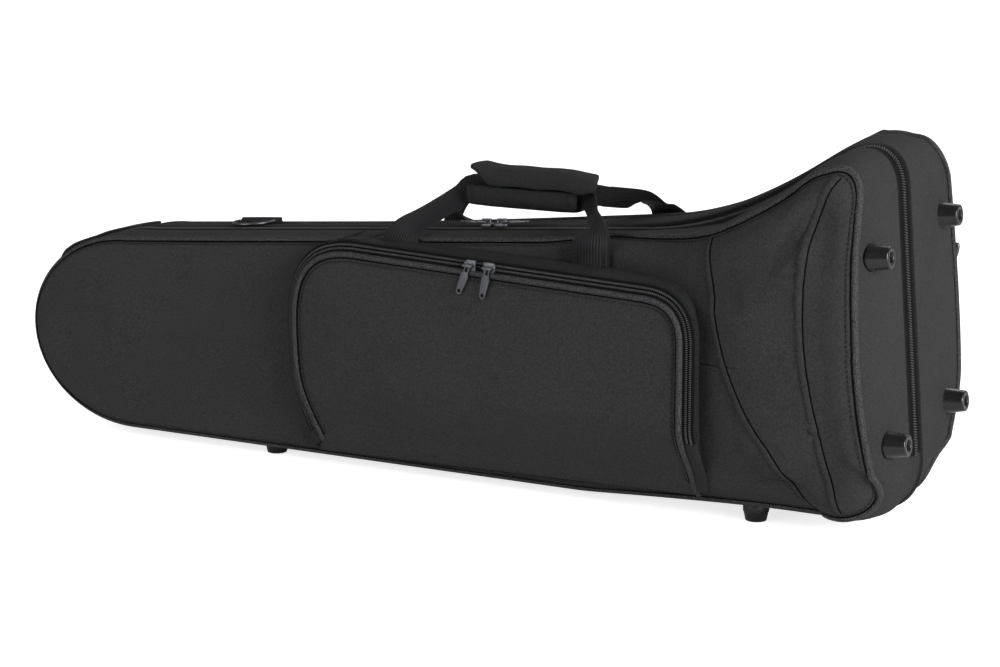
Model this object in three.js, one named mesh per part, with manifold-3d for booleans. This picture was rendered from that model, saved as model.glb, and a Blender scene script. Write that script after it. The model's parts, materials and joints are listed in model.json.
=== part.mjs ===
// Soft-covered trombone case, standing on its long bottom edge, in millimetres.
// +X runs from the narrow nose to the bell end, +Y from the pocket side to the back, +Z up.
// Two foam-cored half shells meet at a parting plane, close with a zip and fold about the bottom edge.
import * as THREE from "three";
import { mergeVertices } from "three/addons/utils/BufferGeometryUtils.js";
import Module from "manifold-3d";

const wasm = await Module();
wasm.setup();

// Driving dimensions of the case
const caseLength = 957; // nose tip to the foot of the bell end, without the end feet
const restHeight = 10; // the bottom feet hold the case this far off the ground
const partingPlane = 0; // Y of the plane where the two shells meet
const partingGap = 0.4; // each half keeps this from the parting plane

// Outline of the shells at the parting plane, seen from the front
const noseLength = 125; // half ellipse of the nose
const noseHeight = 203;
const flareStart = 690; // the top edge turns up here, measured from the nose tip
const slopeTop = { fromEnd: 81, height: 338 }; // upper end of the rising flank
const slopePull = { back: 50, drop: 35 }; // handle of the curve below it
const flarePull = 70; // handle of the curve where the flank leaves the top edge
const topCorner = { height: 312, pullOut: 22, pullUp: 345, crestFromEnd: 45, crest: 360 };
const endLeanStart = 72; // height where the leaning bell end begins
const bottomCorner = 62; // run of the bottom corner at the bell end
const topRiseShare = 0.0787; // rise of the long top edge per length
const endLeanShare = 0.081; // the bell end leans this far per height
const spineEnd = { x: 840, z: 160 }; // the faces are lofted towards a line from the nose centre to here

// Depth of the two shells, which flare towards the bell end
const front = { sign: -1, slim: 60, bell: 114, flareFrom: 640, flareTo: 860, swell: 0, endSwell: 0 };
const back = { sign: 1, slim: 64, bell: 160, flareFrom: 330, flareTo: 900, swell: 8, endSwell: 3 };
const swellTiltShare = 2.2; // a face that leans towards the nose swells more
// Reach of the rounded edge over the face, and the exponents of the rounding
const edgeRound = { slim: 12, foot: 120, crown: 90, end: 60, lowCorner: 92 };
const edgeBluntShares = { slim: 2.4, foot: 2, crown: 3.2, end: 4.5, lowCorner: 1.6 };
const cornerShareScale = 4; // the end and foot shares of a diagonal corner multiply to a quarter
const endBelly = { height: 180, up: 210, down: 160, lossShare: 0.16 }; // deepest at this height
const wall = 14; // foam core and cover
const piping = { slim: 5, foot: 14, crown: 15, end: 13, topCorner: 6, lowCorner: 12, width: 4, height: 2.2 };

// Main zip and the fold along the bottom
const rebate = { width: 16, depth: 3 }; // the tapes lie in this step along the rim
const tapeThickness = 1.8;
const teeth = { width: 3.4, height: 1.4 };
const seat = 0.3; // clearance between pieces that touch

// Feet
const bottomFoot = { base: 11, tip: 9.8, bore: 4.6, floor: 4, sink: 6 };
const endFoot = { base: 13, tip: 10.2, bore: 5, floor: 5, length: 19, sink: 10 };
const footEdge = 1.2;
const bottomFootX = { nose: 288, bell: 815 };
const bottomFootY = { front: 36, back: 36 };
const endFootY = { front: { upper: 84, lower: 70 }, back: { upper: 84, lower: 78 } };
const endFootZ = { front: { upper: 262, lower: 95 }, back: { upper: 276, lower: 105 } };
const screw = { head: 4, headHeight: 2.2, shank: 1.9, depth: 9 };

// Zipped pocket on the front shell; its outline is the line of the zip's teeth
const pocket = {
  left: 339,
  leftFoot: 364,
  right: 786,
  rightFoot: 799,
  bottom: 26,
  topLeft: 231,
  topRight: 221,
  corner: 46,
  cornerLeft: 80,
  footRise: 15,
  waist: 90,
  baseDepth: 62,
  rootDepth: 50,
  depth: 13,
  footDepthShare: 0.5,
  footHeight: 70,
  flareShare: 0.096,
  tape: 5,
  gussetWall: 3,
  gussetSpread: 6,
  panelWall: 4,
  panelSkirt: 2,
  edge: 11,
  crown: 6,
  middleCrown: 2.5,
};
const pocketPiping = { from: 8, width: 3, height: 1.8 };
const panelShares = { near: 0.1, at: 0.6 }; // rings of the panel on the way to its middle

// Carrying handle: two webbing straps sewn to the faces and gathered in a padded grip
const strap = { width: 38, thickness: 2.6, gathered: 21, patch: 34, gatherRise: 18, apart: 1.8 };
const handle = { centre: 560, gripHeight: 284, gripLength: 120 };
const anchors = { front: [457, 663], back: [440, 648] };
// Steps of a strap from the shell to the grip: shares of the way along, inwards and up
const strapRunShares = [[0.08, 0.18, 0], [0.34, 0.6, 0.4], [0.7, 0.95, 0.8]];
const gripShares = [-0.75, -0.25, 0.25, 0.75]; // points of the straps inside the grip
const gripPad = { depth: 30, wall: 5.5, round: 8, room: 1.2, frontShare: 0.62 };
const gripFlap = { length: 136, thickness: 3.2, overhang: 12, gap: 0.6, shift: 12 };

// Zip sliders and their pulls
const slider = {
  length: 13,
  width: 10,
  height: 3.4,
  shoulder: 3.2,
  noseWidth: 5,
  arch: 3.2,
  archBar: 1.6,
  archWidth: 2.4,
  archLength: 10.4,
};
const pull = {
  length: 30,
  width: 9,
  tip: 6.5,
  thickness: 1.8,
  windowLong: 6.8,
  windowWide: 3.4,
  rail: 1,
  shoulder: 10.4,
  hole: 2,
};
const mainSliderX = { left: 516, right: 533 };
const pocketSliderX = { left: 555, right: 577 };
const pullLeanShares = { left: 0.4, right: 0.22 }; // the pocket pulls hang towards the nose

// Rings and their webbing tabs
const ring = { width: 44, bowPull: 32.5, wire: 1.9 };
const ringTab = { width: 32, length: 24, thickness: 2, tail: 0.9, seam: 5, room: 0.5, sink: 1.5 };
const topRing = { x: 227, y: 30 };
const bellRing = { x: 912, z: 238 };

// Webbing loop on the back half of the nose, sewn down at both ends.
// Its path is a list of degrees round the nose, counted from the top, and distances off the case.
const noseLoop = {
  near: 3,
  width: 38,
  thickness: 2.4,
  path: [[12, 0], [20, 0], [27, 1], [40, 5], [51, 10], [62, 15], [74, 19], [88, 17], [102, 9], [113, 1],
    [124, 0], [134, 0]],
};

// Lining and what it holds
const liningGap = 3; // each lining stays this far behind the parting plane
const liningSeat = 1.2; // and this far from the hollow shell around it
const bellRest = { rimRadius: 112, rimX: 914, axisHeight: 206, neckRadius: 15, from: 400, aside: 20 };
const hornShares = { start: 0.266, power: 0.7 }; // shape of the bell recess
const bowRest = { drop: 74, tube: 15, from: 400, to: 770, bulgeShare: 4 / 3 };
const slideRest = { from: 70, to: 880, low: 44, height: 90, depth: 36 };
const slideBlock = { length: 40, height: 20, groove: 9, spacing: 44, fromNose: 80, fromBell: 120 };
const accessory = { from: 62, to: 292, low: 64, high: 168, depth: 40 };
const mouthpiece = { length: 34, width: 74, depth: 34, bore: 11.5, taper: 8.5, boreDepth: 27, spacing: 36 };
const holdStrap = { width: 30, thickness: 1.8, overlap: 14 };
const faceShares = [0, 0.45, 0.8]; // rings over a face, from its rounded edge towards the middle
const roundShares = [0.25, 0.5, 0.75]; // rings over a rounded edge
const coverShares = { edge: [0.3, 0.6, 0.85], after: [0.35, 0.7] }; // rings before and after the piping
const angleStep = 0.02; // angle over which the slope of a rounded edge is taken, in radians
const cutOverrun = 4; // cuts run past a face by this much

// Facets
const counts = {
  bottom: 8,
  corner: 4,
  end: 6,
  top: 6,
  flare: 8,
  edge: 8,
  nose: 14,
  round: 14,
  screw: 8,
  groove: 16,
  horn: 10,
  bell: 20,
  tube: 12,
  bow: 8,
  band: 36,
  loop: 30,
  ringBar: 4,
  ringBow: 14,
  wire: 8,
  fold: 8,
  soft: 4,
  pull: 6,
};
const pocketCounts = { bottom: 8, foot: 4, side: 3, corner: 6, top: 8, cornerLeft: 7, left: 5 };

const fabric = new THREE.MeshStandardMaterial({ color: 0x1f2022, roughness: 0.9, metalness: 0 });
const webbing = new THREE.MeshStandardMaterial({ color: 0x151617, roughness: 0.8, metalness: 0 });
const zipTape = new THREE.MeshStandardMaterial({ color: 0x121314, roughness: 0.7, metalness: 0 });
const plush = new THREE.MeshStandardMaterial({ color: 0x26272b, roughness: 1, metalness: 0 });
const rubber = new THREE.MeshStandardMaterial({ color: 0x111112, roughness: 0.45, metalness: 0 });
const darkMetal = new THREE.MeshStandardMaterial({ color: 0x55575a, roughness: 0.35, metalness: 1 });

// The front half turns on the bottom edge and the pocket's flap on the pocket's foot, so each hangs in a
// group whose origin lies on its hinge. The back half stays where it is.
const object = new THREE.Group();
const backHalf = new THREE.Group();
const frontHalf = new THREE.Group();
const pocketFlap = new THREE.Group();
frontHalf.position.set(0, partingPlane, restHeight);
pocketFlap.position.set(pocket.leftFoot, partingPlane - pocket.baseDepth, pocket.bottom);
object.add(backHalf, frontHalf);
frontHalf.attach(pocketFlap);

function mix(a, b, t) {
  return a + (b - a) * t;
}

// Adds a named piece, built where it belongs in the closed case, to the group that it moves with.
function add(group, name, geometry, material, place = new THREE.Matrix4()) {
  const mesh = new THREE.Mesh(geometry, material);
  mesh.name = name;
  mesh.applyMatrix4(place);
  group.attach(mesh);
}

// A closed surface through rings of equal count: a tube, capped at both ends or joined to itself.
function loft(rings, joined = false, close = cap) {
  const count = rings[0].length;
  const positions = rings.flat().flatMap((p) => [p.x, p.y, p.z]);
  const index = [];
  const last = joined ? rings.length : rings.length - 1;
  for (let r = 0; r < last; r++) {
    const next = (r + 1) % rings.length;
    for (let i = 0; i < count; i++) {
      const j = (i + 1) % count;
      const a = r * count + i;
      const b = r * count + j;
      const c = next * count + i;
      const d = next * count + j;
      index.push(a, b, d, a, d, c);
    }
  }
  if (!joined) {
    index.push(...close(rings[0], 0).flatMap(([a, b, c]) => [a, c, b]));
    index.push(...close(rings.at(-1), (rings.length - 1) * count).flat());
  }
  const geometry = new THREE.BufferGeometry();
  geometry.setAttribute("position", new THREE.Float32BufferAttribute(positions, 3));
  geometry.setIndex(index);
  return outward(mergeVertices(geometry));
}

// Triangles over one ring, worked out on the plane that it faces.
function cap(points, start) {
  const normal = new THREE.Vector3();
  points.forEach((p, i) => {
    const q = points[(i + 1) % points.length];
    normal.add(new THREE.Vector3().crossVectors(p, q));
  });
  normal.normalize();
  const side = Math.abs(normal.x) < Math.SQRT1_2 ? new THREE.Vector3(1, 0, 0) : new THREE.Vector3(0, 1, 0);
  const u = side.cross(normal).normalize();
  const v = new THREE.Vector3().crossVectors(normal, u);
  const flat = points.map((p) => new THREE.Vector2(p.dot(u), p.dot(v)));
  return THREE.ShapeUtils.triangulateShape(flat, []).map((t) => t.map((k) => k + start));
}

// Triangles over a long ring, laid across it from its low side to its high side all along X.
function capAcross(points, start) {
  const count = points.length;
  const xs = points.map((p) => p.x);
  const first = xs.indexOf(Math.min(...xs));
  const last = xs.indexOf(Math.max(...xs));
  const run = (way) => {
    const chain = [first];
    while (chain.at(-1) !== last) chain.push((chain.at(-1) + way + count) % count);
    return chain;
  };
  const low = run(1);
  const high = run(-1);
  const triangles = [];
  let a = 0;
  let b = 0;
  while (a < low.length - 1 || b < high.length - 1) {
    const lowNext = a < low.length - 1 ? xs[low[a + 1]] : Infinity;
    const highNext = b < high.length - 1 ? xs[high[b + 1]] : Infinity;
    if (lowNext <= highNext) {
      triangles.push([low[a], low[a + 1], high[b]]);
      a += 1;
    } else {
      triangles.push([low[a], high[b + 1], high[b]]);
      b += 1;
    }
  }
  const whole = triangles.filter(([i, j, k]) => i !== j && j !== k && i !== k);
  return whole.map((t) => t.map((k) => k + start));
}

// Turns a closed surface so that its faces point out.
function outward(geometry) {
  const p = geometry.attributes.position;
  const index = geometry.index.array;
  const corner = [new THREE.Vector3(), new THREE.Vector3(), new THREE.Vector3()];
  let volume = 0;
  for (let t = 0; t < index.length; t += 3) {
    corner.forEach((c, k) => c.fromBufferAttribute(p, index[t + k]));
    volume += corner[0].dot(corner[1].clone().cross(corner[2]));
  }
  if (volume < 0) {
    for (let t = 0; t < index.length; t += 3) {
      [index[t], index[t + 1]] = [index[t + 1], index[t]];
    }
  }
  return geometry;
}

function solidOf(geometry) {
  const bare = geometry.clone();
  bare.deleteAttribute("normal");
  bare.deleteAttribute("uv");
  const merged = outward(mergeVertices(bare));
  const vertProperties = Float32Array.from(merged.attributes.position.array);
  const triVerts = Uint32Array.from(merged.index.array);
  return new wasm.Manifold(new wasm.Mesh({ numProp: 3, vertProperties, triVerts }));
}

function geometryOf(solid) {
  const { vertProperties, triVerts } = solid.getMesh();
  const geometry = new THREE.BufferGeometry();
  geometry.setAttribute("position", new THREE.BufferAttribute(vertProperties, 3));
  geometry.setIndex(new THREE.BufferAttribute(triVerts, 1));
  return geometry;
}

function cut(geometry, ...tools) {
  return geometryOf(tools.reduce((solid, tool) => solid.subtract(solidOf(tool)), solidOf(geometry)));
}

// The largest body that is left of a piece after a cut.
function trimmed(geometry, tool) {
  const bodies = solidOf(geometry).subtract(solidOf(tool)).decompose();
  return geometryOf(bodies.reduce((best, body) => (body.volume() > best.volume() ? body : best)));
}

function fuse(...pieces) {
  return geometryOf(pieces.slice(1).reduce((solid, piece) => solid.add(solidOf(piece)), solidOf(pieces[0])));
}

function box(low, high) {
  const size = high.map((value, axis) => value - low[axis]);
  const geometry = new THREE.BoxGeometry(...size);
  return geometry.translate(...low.map((value, axis) => value + size[axis] / 2));
}

// A lathed piece whose axis runs from a point along a direction; profile points are [radius, distance].
function turned(profile, origin, direction, sides = counts.round) {
  const geometry = new THREE.LatheGeometry(
    profile.map(([radius, along]) => new THREE.Vector2(radius, along)),
    sides,
  );
  const turn = new THREE.Quaternion().setFromUnitVectors(new THREE.Vector3(0, 1, 0), direction);
  return geometry.applyQuaternion(turn).translate(origin.x, origin.y, origin.z);
}

// Height of the long top edge at a distance from the nose tip.
function topEdge(x) {
  return restHeight + noseHeight + (x - noseLength) * topRiseShare;
}

// X of the leaning bell end at a height.
function bellEnd(z) {
  return caseLength - (z - endLeanStart) * endLeanShare;
}

// The outline at the parting plane, from the foot of the nose round the bell end and back.
function outlineCurves() {
  const v = (x, z) => new THREE.Vector2(x, z);
  const footNose = v(noseLength, restHeight);
  const footBell = v(caseLength - bottomCorner, restHeight);
  const endLow = v(bellEnd(endLeanStart), endLeanStart);
  const endHigh = v(bellEnd(topCorner.height), topCorner.height);
  const flank = v(caseLength - slopeTop.fromEnd, slopeTop.height);
  const bend = v(flareStart, topEdge(flareStart));
  const noseTop = v(noseLength, topEdge(noseLength));
  const noseMiddle = (noseTop.y + restHeight) / 2;
  const crest = v(caseLength - topCorner.crestFromEnd, topCorner.crest);
  const nose = new THREE.EllipseCurve(
    noseLength, noseMiddle, noseLength, noseHeight / 2, Math.PI / 2, (Math.PI * 3) / 2,
  );
  return [
    [new THREE.LineCurve(footNose, footBell), counts.bottom],
    [new THREE.QuadraticBezierCurve(footBell, v(bellEnd(restHeight), restHeight), endLow), counts.corner],
    [new THREE.LineCurve(endLow, endHigh), counts.end],
    [new THREE.CubicBezierCurve(endHigh, v(caseLength - topCorner.pullOut, topCorner.pullUp), crest, flank),
      counts.top],
    [new THREE.CubicBezierCurve(flank, v(flank.x - slopePull.back, flank.y - slopePull.drop),
      v(bend.x + flarePull, bend.y + flarePull * topRiseShare), bend), counts.flare],
    [new THREE.LineCurve(bend, noseTop), counts.edge],
    [nose, counts.nose],
  ];
}

// Samples the outline; each sample knows which way and how far it runs to the middle of the face.
function sampleOutline() {
  const spineStart = new THREE.Vector2(noseLength, restHeight + noseHeight / 2);
  const spineStop = new THREE.Vector2(spineEnd.x, spineEnd.z);
  const spine = new THREE.Line3(
    new THREE.Vector3(spineStart.x, spineStart.y, 0), new THREE.Vector3(spineStop.x, spineStop.y, 0),
  );
  return outlineCurves().flatMap(([curve, steps], part) =>
    Array.from({ length: steps }, (_, k) => {
      const point = curve.getPoint(k / steps);
      const tangent = curve.getTangent(k / steps);
      const inward = new THREE.Vector2(-tangent.y, tangent.x);
      const share = spineShare(point);
      const target = spine.at(share, new THREE.Vector3());
      const way = new THREE.Vector2(target.x, target.y).sub(point);
      const reach = way.length();
      way.divideScalar(reach);
      const slant = Math.max(way.dot(inward), Math.SQRT1_2);
      return { point, way, reach, slant, part, facing: inward.negate() };
    }),
  );
}

// How far along the spine the ray from an outline point ends.
function spineShare(point) {
  return THREE.MathUtils.clamp((point.x - noseLength) / (spineEnd.x - noseLength), 0, 1);
}

const outline = sampleOutline();
const partNames = ["bottom", "bottomCorner", "end", "topCorner", "flare", "edge", "nose"];
const partIndex = Object.fromEntries(partNames.map((name, k) => [name, k]));

function flareAt(side, x) {
  return THREE.MathUtils.smoothstep(x, side.flareFrom, side.flareTo);
}

function depthAt(side, x) {
  return mix(side.slim, side.bell, flareAt(side, x));
}

// How much a place on the outline faces up, down and along; the three shares add up to one.
function facingShares({ x, y }) {
  const all = Math.abs(x) + Math.abs(y);
  const end = Math.max(x, 0) / all;
  const foot = Math.max(-y, 0) / all;
  return { end, foot, crown: 1 - end - foot };
}

// How near a height is to the middle of the bell end: one there, nothing at its corners.
function middleShare(height) {
  const off = height - endBelly.height;
  const share = Math.min(off > 0 ? off / endBelly.up : -off / endBelly.down, 1);
  return 1 - share ** 2;
}

// Rounding of a shell's edge at one place: depth, reach over the face, exponent and swelling.
// The slim part is boxy; the bell part is round below, blunter on top and bluntest at its end.
function roundingAt(side, { point, facing }, shrink) {
  const flare = flareAt(side, point.x);
  const { end, foot, crown } = facingShares(facing);
  const lowCorner = end * foot * cornerShareScale;
  const blend = (sizes) => {
    const faces = end * sizes.end + foot * sizes.foot + crown * sizes.crown;
    return mix(sizes.slim, mix(faces, sizes.lowCorner, lowCorner), flare);
  };
  const loss = endBelly.lossShare * (1 - middleShare(point.y)) * Math.max(facing.x, 0) * flare;
  const leaning = Math.max(side.swell * (1 - facing.x * swellTiltShare), side.endSwell);
  return {
    depth: depthAt(side, point.x) * (1 - loss) - shrink,
    middleDepth: depthAt(side, Math.min(point.x, spineEnd.x)) - shrink,
    reach: blend(edgeRound),
    power: blend(edgeBluntShares),
    swell: leaning * flare * (1 - foot),
    shrink,
  };
}

// Inset from the outline and depth behind the parting plane at an angle of the rounding.
function roundPoint(round, angle) {
  const power = 2 / round.power;
  return {
    inset: round.shrink + round.reach * (1 - Math.max(Math.cos(angle), 0) ** power)
      - round.swell * Math.sin(angle * 2),
    depth: round.depth * Math.sin(angle) ** power,
  };
}

// Where the piping runs: its distance in from the outline.
function pipingInset(side, { point, facing }) {
  const { end, foot, crown } = facingShares(facing);
  const corner = point.y > endBelly.height ? piping.topCorner : piping.lowCorner;
  const there = mix(corner, piping.end, middleShare(point.y));
  const bell = end * there + foot * mix(piping.foot, corner, end) + crown * mix(piping.crown, corner, end);
  return mix(piping.slim, bell, flareAt(side, point.x));
}

// Angle of the rounding where it has come in by a distance.
function angleAtInset(round, inset) {
  return Math.acos((1 - inset / round.reach) ** (round.power / 2));
}

// Inset of the surface where it lies at a depth from the parting plane.
function insetAtDepth(side, sample, depth) {
  const round = roundingAt(side, sample, 0);
  return round.reach * (1 - (1 - (depth / round.depth) ** round.power) ** (1 / round.power));
}

// Depth of the surface where it has come in from the outline by a distance.
function depthAtInset(side, sample, inset) {
  const round = roundingAt(side, sample, 0);
  return round.depth * (1 - Math.max(1 - inset / round.reach, 0) ** round.power) ** (1 / round.power);
}

function endSample(z) {
  return { point: new THREE.Vector2(bellEnd(z), z), facing: new THREE.Vector2(1, 0) };
}

function place(side, sample, inset, depth) {
  const travel = Math.min(inset / sample.slant, sample.reach);
  return new THREE.Vector3(
    sample.point.x + sample.way.x * travel,
    partingPlane + side.sign * depth,
    sample.point.y + sample.way.y * travel,
  );
}

function surfaceRing(side, shrink, angleShare) {
  return outline.map((sample) => {
    const round = roundingAt(side, sample, shrink);
    const { inset, depth } = roundPoint(round, angleShare * (Math.PI / 2));
    return place(side, sample, inset, depth);
  });
}

// The face between the rounded edge and the middle line.
function faceRing(side, shrink, share) {
  return outline.map((sample) => {
    const round = roundingAt(side, sample, shrink);
    const start = round.shrink + round.reach;
    return place(side, sample, mix(start, sample.reach * sample.slant, share), faceDepth(round, share));
  });
}

// All faces close over the same samples, so that neighbours stay parallel.
const faceTriangles = capAcross(faceRing(front, 0, faceShares.at(-1)), 0);

function capFace(points, start) {
  return faceTriangles.map((t) => t.map((k) => k + start));
}

// Depth of the face on its way from the rounded edge to the middle line.
function faceDepth(round, share) {
  return mix(round.depth, round.middleDepth, 1 - (1 - share) ** 2);
}

// Rings over a shell's outside, with the piping as a ridge round the face.
function coverRings(side, lift) {
  const frames = outline.map((sample) => {
    const round = roundingAt(side, sample, 0);
    return { sample, round, angle: angleAtInset(round, pipingInset(side, sample)) };
  });
  const at = (frame, angle, out, along) => {
    const here = roundPoint(frame.round, angle);
    const near = roundPoint(frame.round, Math.min(angle + angleStep, Math.PI / 2));
    const run = new THREE.Vector2(near.inset - here.inset, near.depth - here.depth).normalize();
    const inset = here.inset + run.x * along - run.y * out;
    const depth = here.depth + run.y * along + run.x * out;
    return place(side, frame.sample, inset, depth);
  };
  const ringAt = (pick, out, along) => frames.map((f) => at(f, pick(f), out, along));
  const half = piping.width / 2;
  return [
    ...coverShares.edge.map((share) => ringAt((f) => f.angle * share, lift, 0)),
    ringAt((f) => f.angle, lift, -half),
    ringAt((f) => f.angle, piping.height + lift, -half / 2),
    ringAt((f) => f.angle, piping.height + lift, half / 2),
    ringAt((f) => f.angle, lift, half),
    ...coverShares.after.map((share) => ringAt((f) => mix(f.angle, Math.PI / 2, share), lift, 0)),
  ];
}

function rimRing(side, inset, depth) {
  return outline.map((sample) => place(side, sample, inset, depth));
}

// Rings of a surface that runs inside a shell's outside, from the middle of the face to the rim.
function insideRings(side, shrink) {
  return [
    ...faceShares.map((share) => faceRing(side, shrink, share)).reverse(),
    ...roundShares.map((share) => surfaceRing(side, shrink, share)).reverse(),
    rimRing(side, shrink, partingGap),
  ];
}

// One half shell: outer cover, rounded edge, rebate for the tapes and hollow inside.
function halfShell(side) {
  return loft([
    ...insideRings(side, wall),
    rimRing(side, rebate.depth, partingGap),
    rimRing(side, rebate.depth, rebate.width),
    rimRing(side, 0, rebate.width + partingGap),
    ...coverRings(side, 0),
    ...faceShares.map((share) => liftedFace(side, 0, share)),
  ], false, capFace);
}

function liftedFace(side, lift, share) {
  return outline.map((sample) => {
    const round = roundingAt(side, sample, 0);
    const inset = mix(round.reach, sample.reach * sample.slant, share);
    return place(side, sample, inset, faceDepth(round, share) + lift);
  });
}

// The outside of a half shell as a solid that is larger by the seat clearance, to cut what sits on it.
function envelope(side) {
  return loft([
    rimRing(side, -seat, -cutOverrun),
    rimRing(side, -seat, rebate.width + partingGap),
    ...coverRings(side, seat),
    ...faceShares.map((share) => liftedFace(side, seat, share)),
  ], false, capFace);
}

const frontEnvelope = envelope(front);
const backEnvelope = envelope(back);

// Screws that hold the feet on, and the blind holes that they go into.
function screwHole(origin, direction) {
  const radius = screw.shank + seat;
  const low = -screw.depth - seat;
  const profile = [[0, low], [radius, low], [radius, cutOverrun], [0, cutOverrun]];
  return turned(profile, origin, direction, counts.screw);
}

// A hollow conical foot; origin is where its axis meets the shell, direction points away from the case.
function foot(size, length, origin, direction, shell) {
  const profile = [
    [screw.shank + seat, -size.sink],
    [size.base, -size.sink],
    [size.base, 0],
    [size.tip, length - footEdge],
    [size.tip - footEdge, length],
    [size.bore, length],
    [size.bore, size.floor],
    [screw.shank + seat, size.floor],
    [screw.shank + seat, -size.sink],
  ];
  return cut(turned(profile, origin, direction), shell);
}

function footScrew(size, origin, direction) {
  const top = size.floor + seat;
  return turned([[0, -screw.depth], [screw.shank, -screw.depth], [screw.shank, top], [screw.head, top],
    [screw.head, top + screw.headHeight], [0, top + screw.headHeight]], origin, direction, counts.screw);
}

// Places of the eight feet: on the bottom near both ends, and two on the bell end of each shell.
function footPlaces() {
  const down = new THREE.Vector3(0, 0, -1);
  const out = new THREE.Vector3(1, 0, endLeanShare).normalize();
  const places = [];
  for (const [sideName, side] of [["front", front], ["back", back]]) {
    for (const end of ["nose", "bell"]) {
      const x = bottomFootX[end];
      const y = partingPlane + side.sign * bottomFootY[sideName];
      const ground = { point: new THREE.Vector2(x, restHeight), facing: new THREE.Vector2(0, -1) };
      const inset = insetAtDepth(side, ground, bottomFootY[sideName]);
      places.push({ name: `foot_bottom_${sideName}_${end}`, side, size: bottomFoot, direction: down,
        length: restHeight + inset, origin: new THREE.Vector3(x, y, restHeight + inset) });
    }
    for (const level of ["upper", "lower"]) {
      const z = endFootZ[sideName][level];
      const depth = endFootY[sideName][level];
      const x = bellEnd(z) - insetAtDepth(side, endSample(z), depth);
      places.push({ name: `foot_end_${sideName}_${level}`, side, size: endFoot, direction: out,
        length: endFoot.length, origin: new THREE.Vector3(x, partingPlane + side.sign * depth, z) });
    }
  }
  return places;
}

const feet = footPlaces();

function addShellsAndFeet() {
  for (const [name, side, group] of [["front_shell", front, frontHalf], ["back_shell", back, backHalf]]) {
    const own = feet.filter((f) => f.side === side);
    add(group, name, cut(halfShell(side), ...own.map((f) => screwHole(f.origin, f.direction))), fabric);
    const shell = side === front ? frontEnvelope : backEnvelope;
    own.forEach((f) => {
      add(group, f.name, foot(f.size, f.length, f.origin, f.direction, shell), rubber);
      add(group, `${f.name}_screw`, footScrew(f.size, f.origin, f.direction), darkMetal);
    });
  }
}

// A strip along part of the outline; its section is a list of [inset, depth] corners.
function strip(side, samples, section) {
  return loft(samples.map((sample) => section.map(([inset, depth]) => place(side, sample, inset, depth))));
}

// Tape and row of teeth of one half of the main zip, from the bell corner over the top and round the nose.
function zipHalf(side) {
  const zipped = outline.filter((s) => s.part > partIndex.bottomCorner);
  const low = rebate.depth - seat;
  const high = low - tapeThickness;
  return strip(side, zipped, [
    [low, partingGap],
    [low, rebate.width - seat],
    [high, rebate.width - seat],
    [high, partingGap + teeth.width],
    [high - teeth.height, partingGap + teeth.width],
    [high - teeth.height, partingGap],
  ]);
}

// Half of the fabric fold along the bottom.
function foldHalf(side) {
  const folded = outline.filter((s) => s.part === partIndex.bottom);
  folded.push(outline.find((s) => s.part === partIndex.bottomCorner));
  const low = rebate.depth - seat;
  return strip(side, folded, [
    [low, partingGap],
    [low, rebate.width - seat],
    [low - tapeThickness, rebate.width - seat],
    [low - tapeThickness, partingGap],
  ]);
}

// Lining: a foam insert under plush that fills a shell, before its recesses are cut.
function liningBlock(side) {
  const block = loft(insideRings(side, wall + liningSeat), false, capFace);
  const planes = [partingPlane - side.sign * cutOverrun, partingPlane + side.sign * liningGap];
  const slab = box([0, Math.min(...planes), 0], [caseLength, Math.max(...planes), topCorner.crest]);
  return cut(block, slab);
}

// Recess for the bell: a horn that opens towards the bell end, its axis parallel to the top edge.
function bellRecess() {
  const length = bellRest.rimX - bellRest.from;
  const start = hornShares.start * bellRest.rimRadius;
  const profile = [[0, 0]];
  for (let k = 0; k <= counts.horn; k++) {
    const along = length * (k / counts.horn) ** 2;
    const horn = bellRest.rimRadius * (start / (along + start)) ** hornShares.power;
    profile.push([Math.max(horn, bellRest.neckRadius), along]);
  }
  profile.push([0, length]);
  const rim = bellAxis(bellRest.rimX);
  const towardsNose = bellAxis(bellRest.from).sub(rim).normalize();
  return turned(profile, rim, towardsNose, counts.bell);
}

function topDirection() {
  return new THREE.Vector3(1, 0, topRiseShare).normalize();
}

// The bell's axis, parallel to the top edge and leading a little to the deeper back shell.
function bellAxis(x) {
  const aside = (bellRest.aside * (x - bellRest.from)) / (bellRest.rimX - bellRest.from);
  return new THREE.Vector3(x, partingPlane + aside, bellRest.axisHeight + (x - bellRest.rimX) * topRiseShare);
}

// Channel of the return tube below the bell's neck, joined to it by a bow at the nose side.
function bowRecess() {
  const path = new THREE.CurvePath();
  const drop = new THREE.Vector3(0, 0, -bowRest.drop);
  const upper = bellAxis(bowRest.from);
  const lower = upper.clone().add(drop);
  const lowerEnd = bellAxis(bowRest.to).add(drop);
  const left = bowRest.drop / 2;
  const bulge = topDirection().multiplyScalar(-left * bowRest.bulgeShare);
  path.add(new THREE.LineCurve3(bellAxis(bowRest.from + left), upper));
  path.add(new THREE.CubicBezierCurve3(upper, upper.clone().add(bulge), lower.clone().add(bulge), lower));
  path.add(new THREE.LineCurve3(lower, lowerEnd));
  const points = [path.curves[0].getPoint(0), ...path.curves[1].getPoints(counts.bow), lowerEnd];
  const across = new THREE.Vector3(0, 1, 0);
  const rings = points.map((point, i) => {
    const before = points[Math.max(i - 1, 0)];
    const after = points[Math.min(i + 1, points.length - 1)];
    const along = after.clone().sub(before).normalize();
    const out = new THREE.Vector3().crossVectors(along, across).normalize();
    return Array.from({ length: counts.tube }, (_, k) => {
      const angle = (k / counts.tube) * Math.PI * 2;
      return point.clone()
        .addScaledVector(out, Math.cos(angle) * bowRest.tube)
        .addScaledVector(across, Math.sin(angle) * bowRest.tube);
    });
  });
  return loft(rings);
}

function slideRecess() {
  return box(
    [slideRest.from, partingPlane - slideRest.depth, slideRest.low],
    [slideRest.to, partingPlane + cutOverrun, slideRest.low + slideRest.height],
  );
}

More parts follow.
